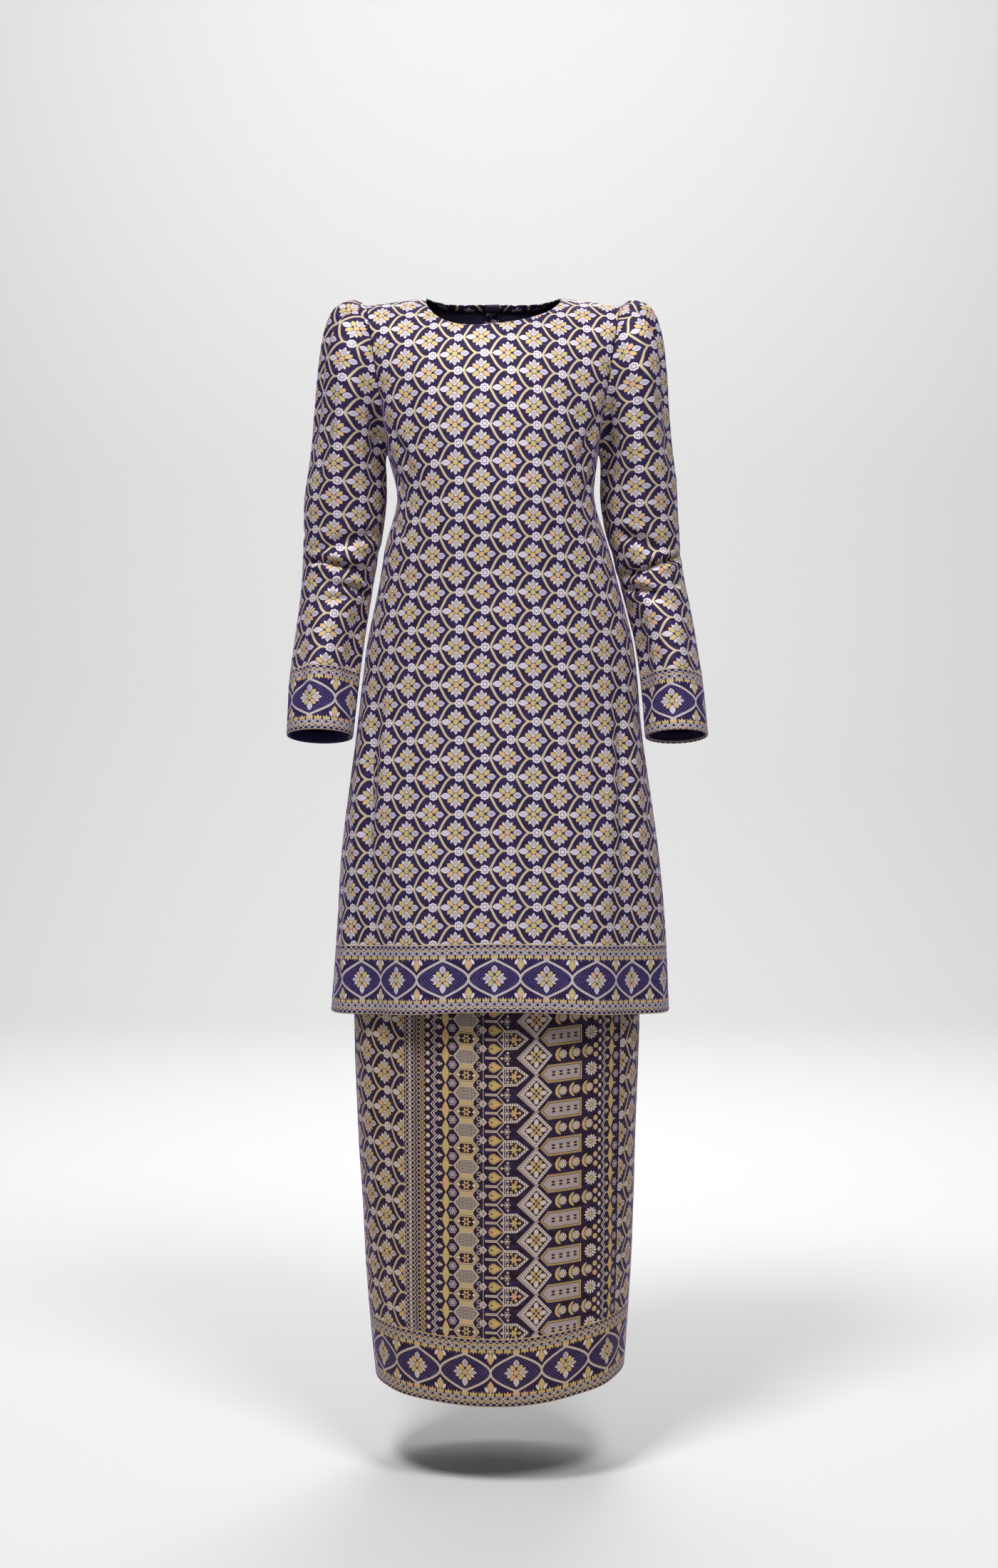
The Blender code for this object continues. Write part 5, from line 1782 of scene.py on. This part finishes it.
def set_stage():
    look = bpy.context.scene.kurung_stage
    lay_backdrop(look)
    world = bpy.data.worlds.new("soft_room")
    world.use_nodes = True
    world.node_tree.nodes["Background"].inputs["Color"].default_value = (1, 1, 1, 1)
    world.node_tree.nodes["Background"].inputs["Strength"].default_value = look.room
    bpy.context.scene.world = world
    for name, lamp in LAMPS.items():
        hang_lamp(name + "_lamp", lamp, getattr(look, name))
    camera = bpy.data.cameras.new("camera")
    camera.lens = CAMERA_LENS
    eye = place_in_scene("camera", camera)
    eye.location = CAMERA_PLACE
    eye.rotation_euler = (CAMERA_TILT, 0, 0)
    bpy.context.scene.camera = eye
    bpy.context.scene.view_settings.view_transform = "Standard"


# ---------------------------------------------------------------- settings, operators and panel


def number_setting(name, description, default, **settings):
    return bpy.props.FloatProperty(name=name, description=description, default=default, min=0, **settings)


def length_setting(name, description, default, longest):
    return number_setting(name, description, default, max=longest, precision=4, unit="LENGTH")


def light_setting(name, description, default):
    return number_setting(name, description, default, unit="POWER")


def colour_setting(name, description, *shade):
    return bpy.props.FloatVectorProperty(
        name=name, description=description, subtype="COLOR", size=4, min=0, max=1, default=srgb(*shade)
    )


class KURUNG_PG_dyes(bpy.types.PropertyGroup):
    ground: colour_setting("Ground", "Ground of the flower lattice", 40, 29, 60)
    # Painted sheen: the colour of the ground's lighter patches
    ground_sheen: colour_setting("Ground Light", "Where the ground catches the light", 56, 43, 86)
    border_ground: colour_setting("Border Ground", "Ground of the border", 38, 28, 60)
    head_ground: colour_setting("Head Ground", "Ground of the skirt's head panel", 37, 24, 40)
    outline: colour_setting("Outline", "Dark lines inside and round the motifs", 46, 34, 58)
    violet_line: colour_setting("Violet Line", "Fine chevrons of the medallions", 118, 106, 178)
    vine: colour_setting("Vine", "Vines and the veins of petals", 198, 181, 148)
    silver: colour_setting("Silver", "Bright silver thread", 222, 213, 222)
    silver_shade: colour_setting("Silver Shade", "Duller silver thread", 170, 160, 164)
    bud: colour_setting("Bud", "Buds inside the silver tulips", 182, 171, 172)
    lilac: colour_setting("Lilac", "Silver thread crossed by the ground", 172, 162, 186)
    beige: colour_setting("Beige", "Warm silver thread", 196, 184, 182)
    gold_green: colour_setting("Green Gold", "Gold thread at its greenest", 192, 176, 124)
    gold: colour_setting("Gold", "Gold thread between its two ends", 204, 176, 126)
    gold_peach: colour_setting("Peach Gold", "Gold thread at its warmest", 212, 166, 134)
    reverse: colour_setting("Reverse", "Wrong side of the cloth", 36, 28, 58)
    reverse_float: colour_setting("Reverse Floats", "Thread that passes behind", 74, 64, 92)
    waistband: colour_setting("Waistband", "Cloth of the casing", 34, 27, 62)
    thread: colour_setting("Sewing Thread", "Stitches and the button's loop", 58, 48, 96)


class KURUNG_PG_cloth(bpy.types.PropertyGroup):
    thickness: length_setting("Thickness", "Thickness of one layer of cloth", 0.0009, 0.003)
    unevenness: length_setting("Unevenness", "How far worn cloth strays from a smooth one", 0.0005, 0.003)
    creasing: number_setting("Creasing", "Share of each crease's depth", 1.0, max=1.5, subtype="FACTOR")
    seam_roll: length_setting("Seam Roll", "Radius of a seam's rolled edge", 0.0010, 0.003)
    hem_roll: length_setting("Hem Roll", "Radius of a hem's edge, which is folded twice", 0.0015, 0.003)
    casing_roll: length_setting("Casing Roll", "Radius of the casing's fold at the top", 0.0018, 0.004)
    seam_turning: length_setting("Seam Turning", "Cloth turned in at a seam", 0.008, 0.02)
    neck_turning: length_setting("Neck Turning", "Cloth turned in at the neck", 0.009, 0.02)
    cuff_turning: length_setting("Cuff Turning", "Cloth turned up at a cuff", 0.015, 0.03)
    hem_turning: length_setting("Hem Turning", "Cloth turned up at a hem", 0.020, 0.05)
    gathers: bpy.props.IntProperty(
        name="Gathers", description="Gathers of the casing, all round", default=58, min=20, max=120
    )
    gather_depth: length_setting("Gather Depth", "From a gather's crest to its valley", 0.0030, 0.006)


class KURUNG_PG_stage(bpy.types.PropertyGroup):
    paper: colour_setting("Paper", "Backdrop and floor", 205, 205, 205)
    room: number_setting("Room", "Light from all round", 0.14)
    key: light_setting("Key", "Large lamp high in front, from the wearer's right", 148)
    fill: light_setting("Fill", "Large lamp high in front, from the wearer's left", 94)
    back: light_setting("Back", "Large lamp behind and above", 45)
    wall: light_setting("Wall", "Lamp on the backdrop", 156)


class KURUNG_OT_sew_tunic(bpy.types.Operator):
    """Sew the tunic's front and its two back halves"""

    bl_idname = "kurung.sew_tunic"
    bl_label = "Sew Tunic"

    def execute(self, context):
        sew_tunic()
        return {"FINISHED"}


class KURUNG_OT_sew_sleeves(bpy.types.Operator):
    """Sew the two puffed sleeves"""

    bl_idname = "kurung.sew_sleeves"
    bl_label = "Sew Sleeves"

    def execute(self, context):
        sew_sleeves()
        return {"FINISHED"}


class KURUNG_OT_sew_skirt(bpy.types.Operator):
    """Sew the skirt's front, with its head panel, and its back"""

    bl_idname = "kurung.sew_skirt"
    bl_label = "Sew Skirt"

    def execute(self, context):
        sew_skirt()
        return {"FINISHED"}


class KURUNG_OT_sew_waistband(bpy.types.Operator):
    """Sew the skirt's gathered waistband"""

    bl_idname = "kurung.sew_waistband"
    bl_label = "Sew Waistband"

    def execute(self, context):
        sew_waistband()
        return {"FINISHED"}


class KURUNG_OT_sew_button(bpy.types.Operator):
    """Cover the neck's button and sew its loop"""

    bl_idname = "kurung.sew_button"
    bl_label = "Sew Button"

    def execute(self, context):
        cover_button()
        sew_loop()
        return {"FINISHED"}


class KURUNG_OT_set_stage(bpy.types.Operator):
    """Lay the backdrop, hang the lamps and place the camera"""

    bl_idname = "kurung.set_stage"
    bl_label = "Set Stage"

    def execute(self, context):
        set_stage()
        return {"FINISHED"}


SETTINGS = {
    "kurung_dyes": KURUNG_PG_dyes,
    "kurung_cloth": KURUNG_PG_cloth,
    "kurung_stage": KURUNG_PG_stage,
}
OPERATORS = (
    KURUNG_OT_sew_tunic,
    KURUNG_OT_sew_sleeves,
    KURUNG_OT_sew_skirt,
    KURUNG_OT_sew_waistband,
    KURUNG_OT_sew_button,
    KURUNG_OT_set_stage,
)


class KURUNG_PT_panel(bpy.types.Panel):
    """The set's operators, in the order of making, and its settings"""

    bl_idname = "KURUNG_PT_panel"
    bl_label = "Baju Kurung"
    bl_space_type = "VIEW_3D"
    bl_region_type = "UI"
    bl_category = "Baju Kurung"

    def draw(self, context):
        for operator in OPERATORS:
            self.layout.operator(operator.bl_idname)
        for group, settings in SETTINGS.items():
            column = self.layout.box().column()
            for name in settings.__annotations__:
                column.prop(getattr(context.scene, group), name)


def register():
    for kind in (*SETTINGS.values(), *OPERATORS, KURUNG_PT_panel):
        bpy.utils.register_class(kind)
    for group, settings in SETTINGS.items():
        setattr(bpy.types.Scene, group, bpy.props.PointerProperty(type=settings))


def unregister():
    for group in SETTINGS:
        delattr(bpy.types.Scene, group)
    for kind in reversed((*SETTINGS.values(), *OPERATORS, KURUNG_PT_panel)):
        bpy.utils.unregister_class(kind)


def main():
    register()
    bpy.ops.kurung.sew_tunic()
    bpy.ops.kurung.sew_sleeves()
    bpy.ops.kurung.sew_skirt()
    bpy.ops.kurung.sew_waistband()
    bpy.ops.kurung.sew_button()
    bpy.ops.kurung.set_stage()


if __name__ == "__main__":
    main()
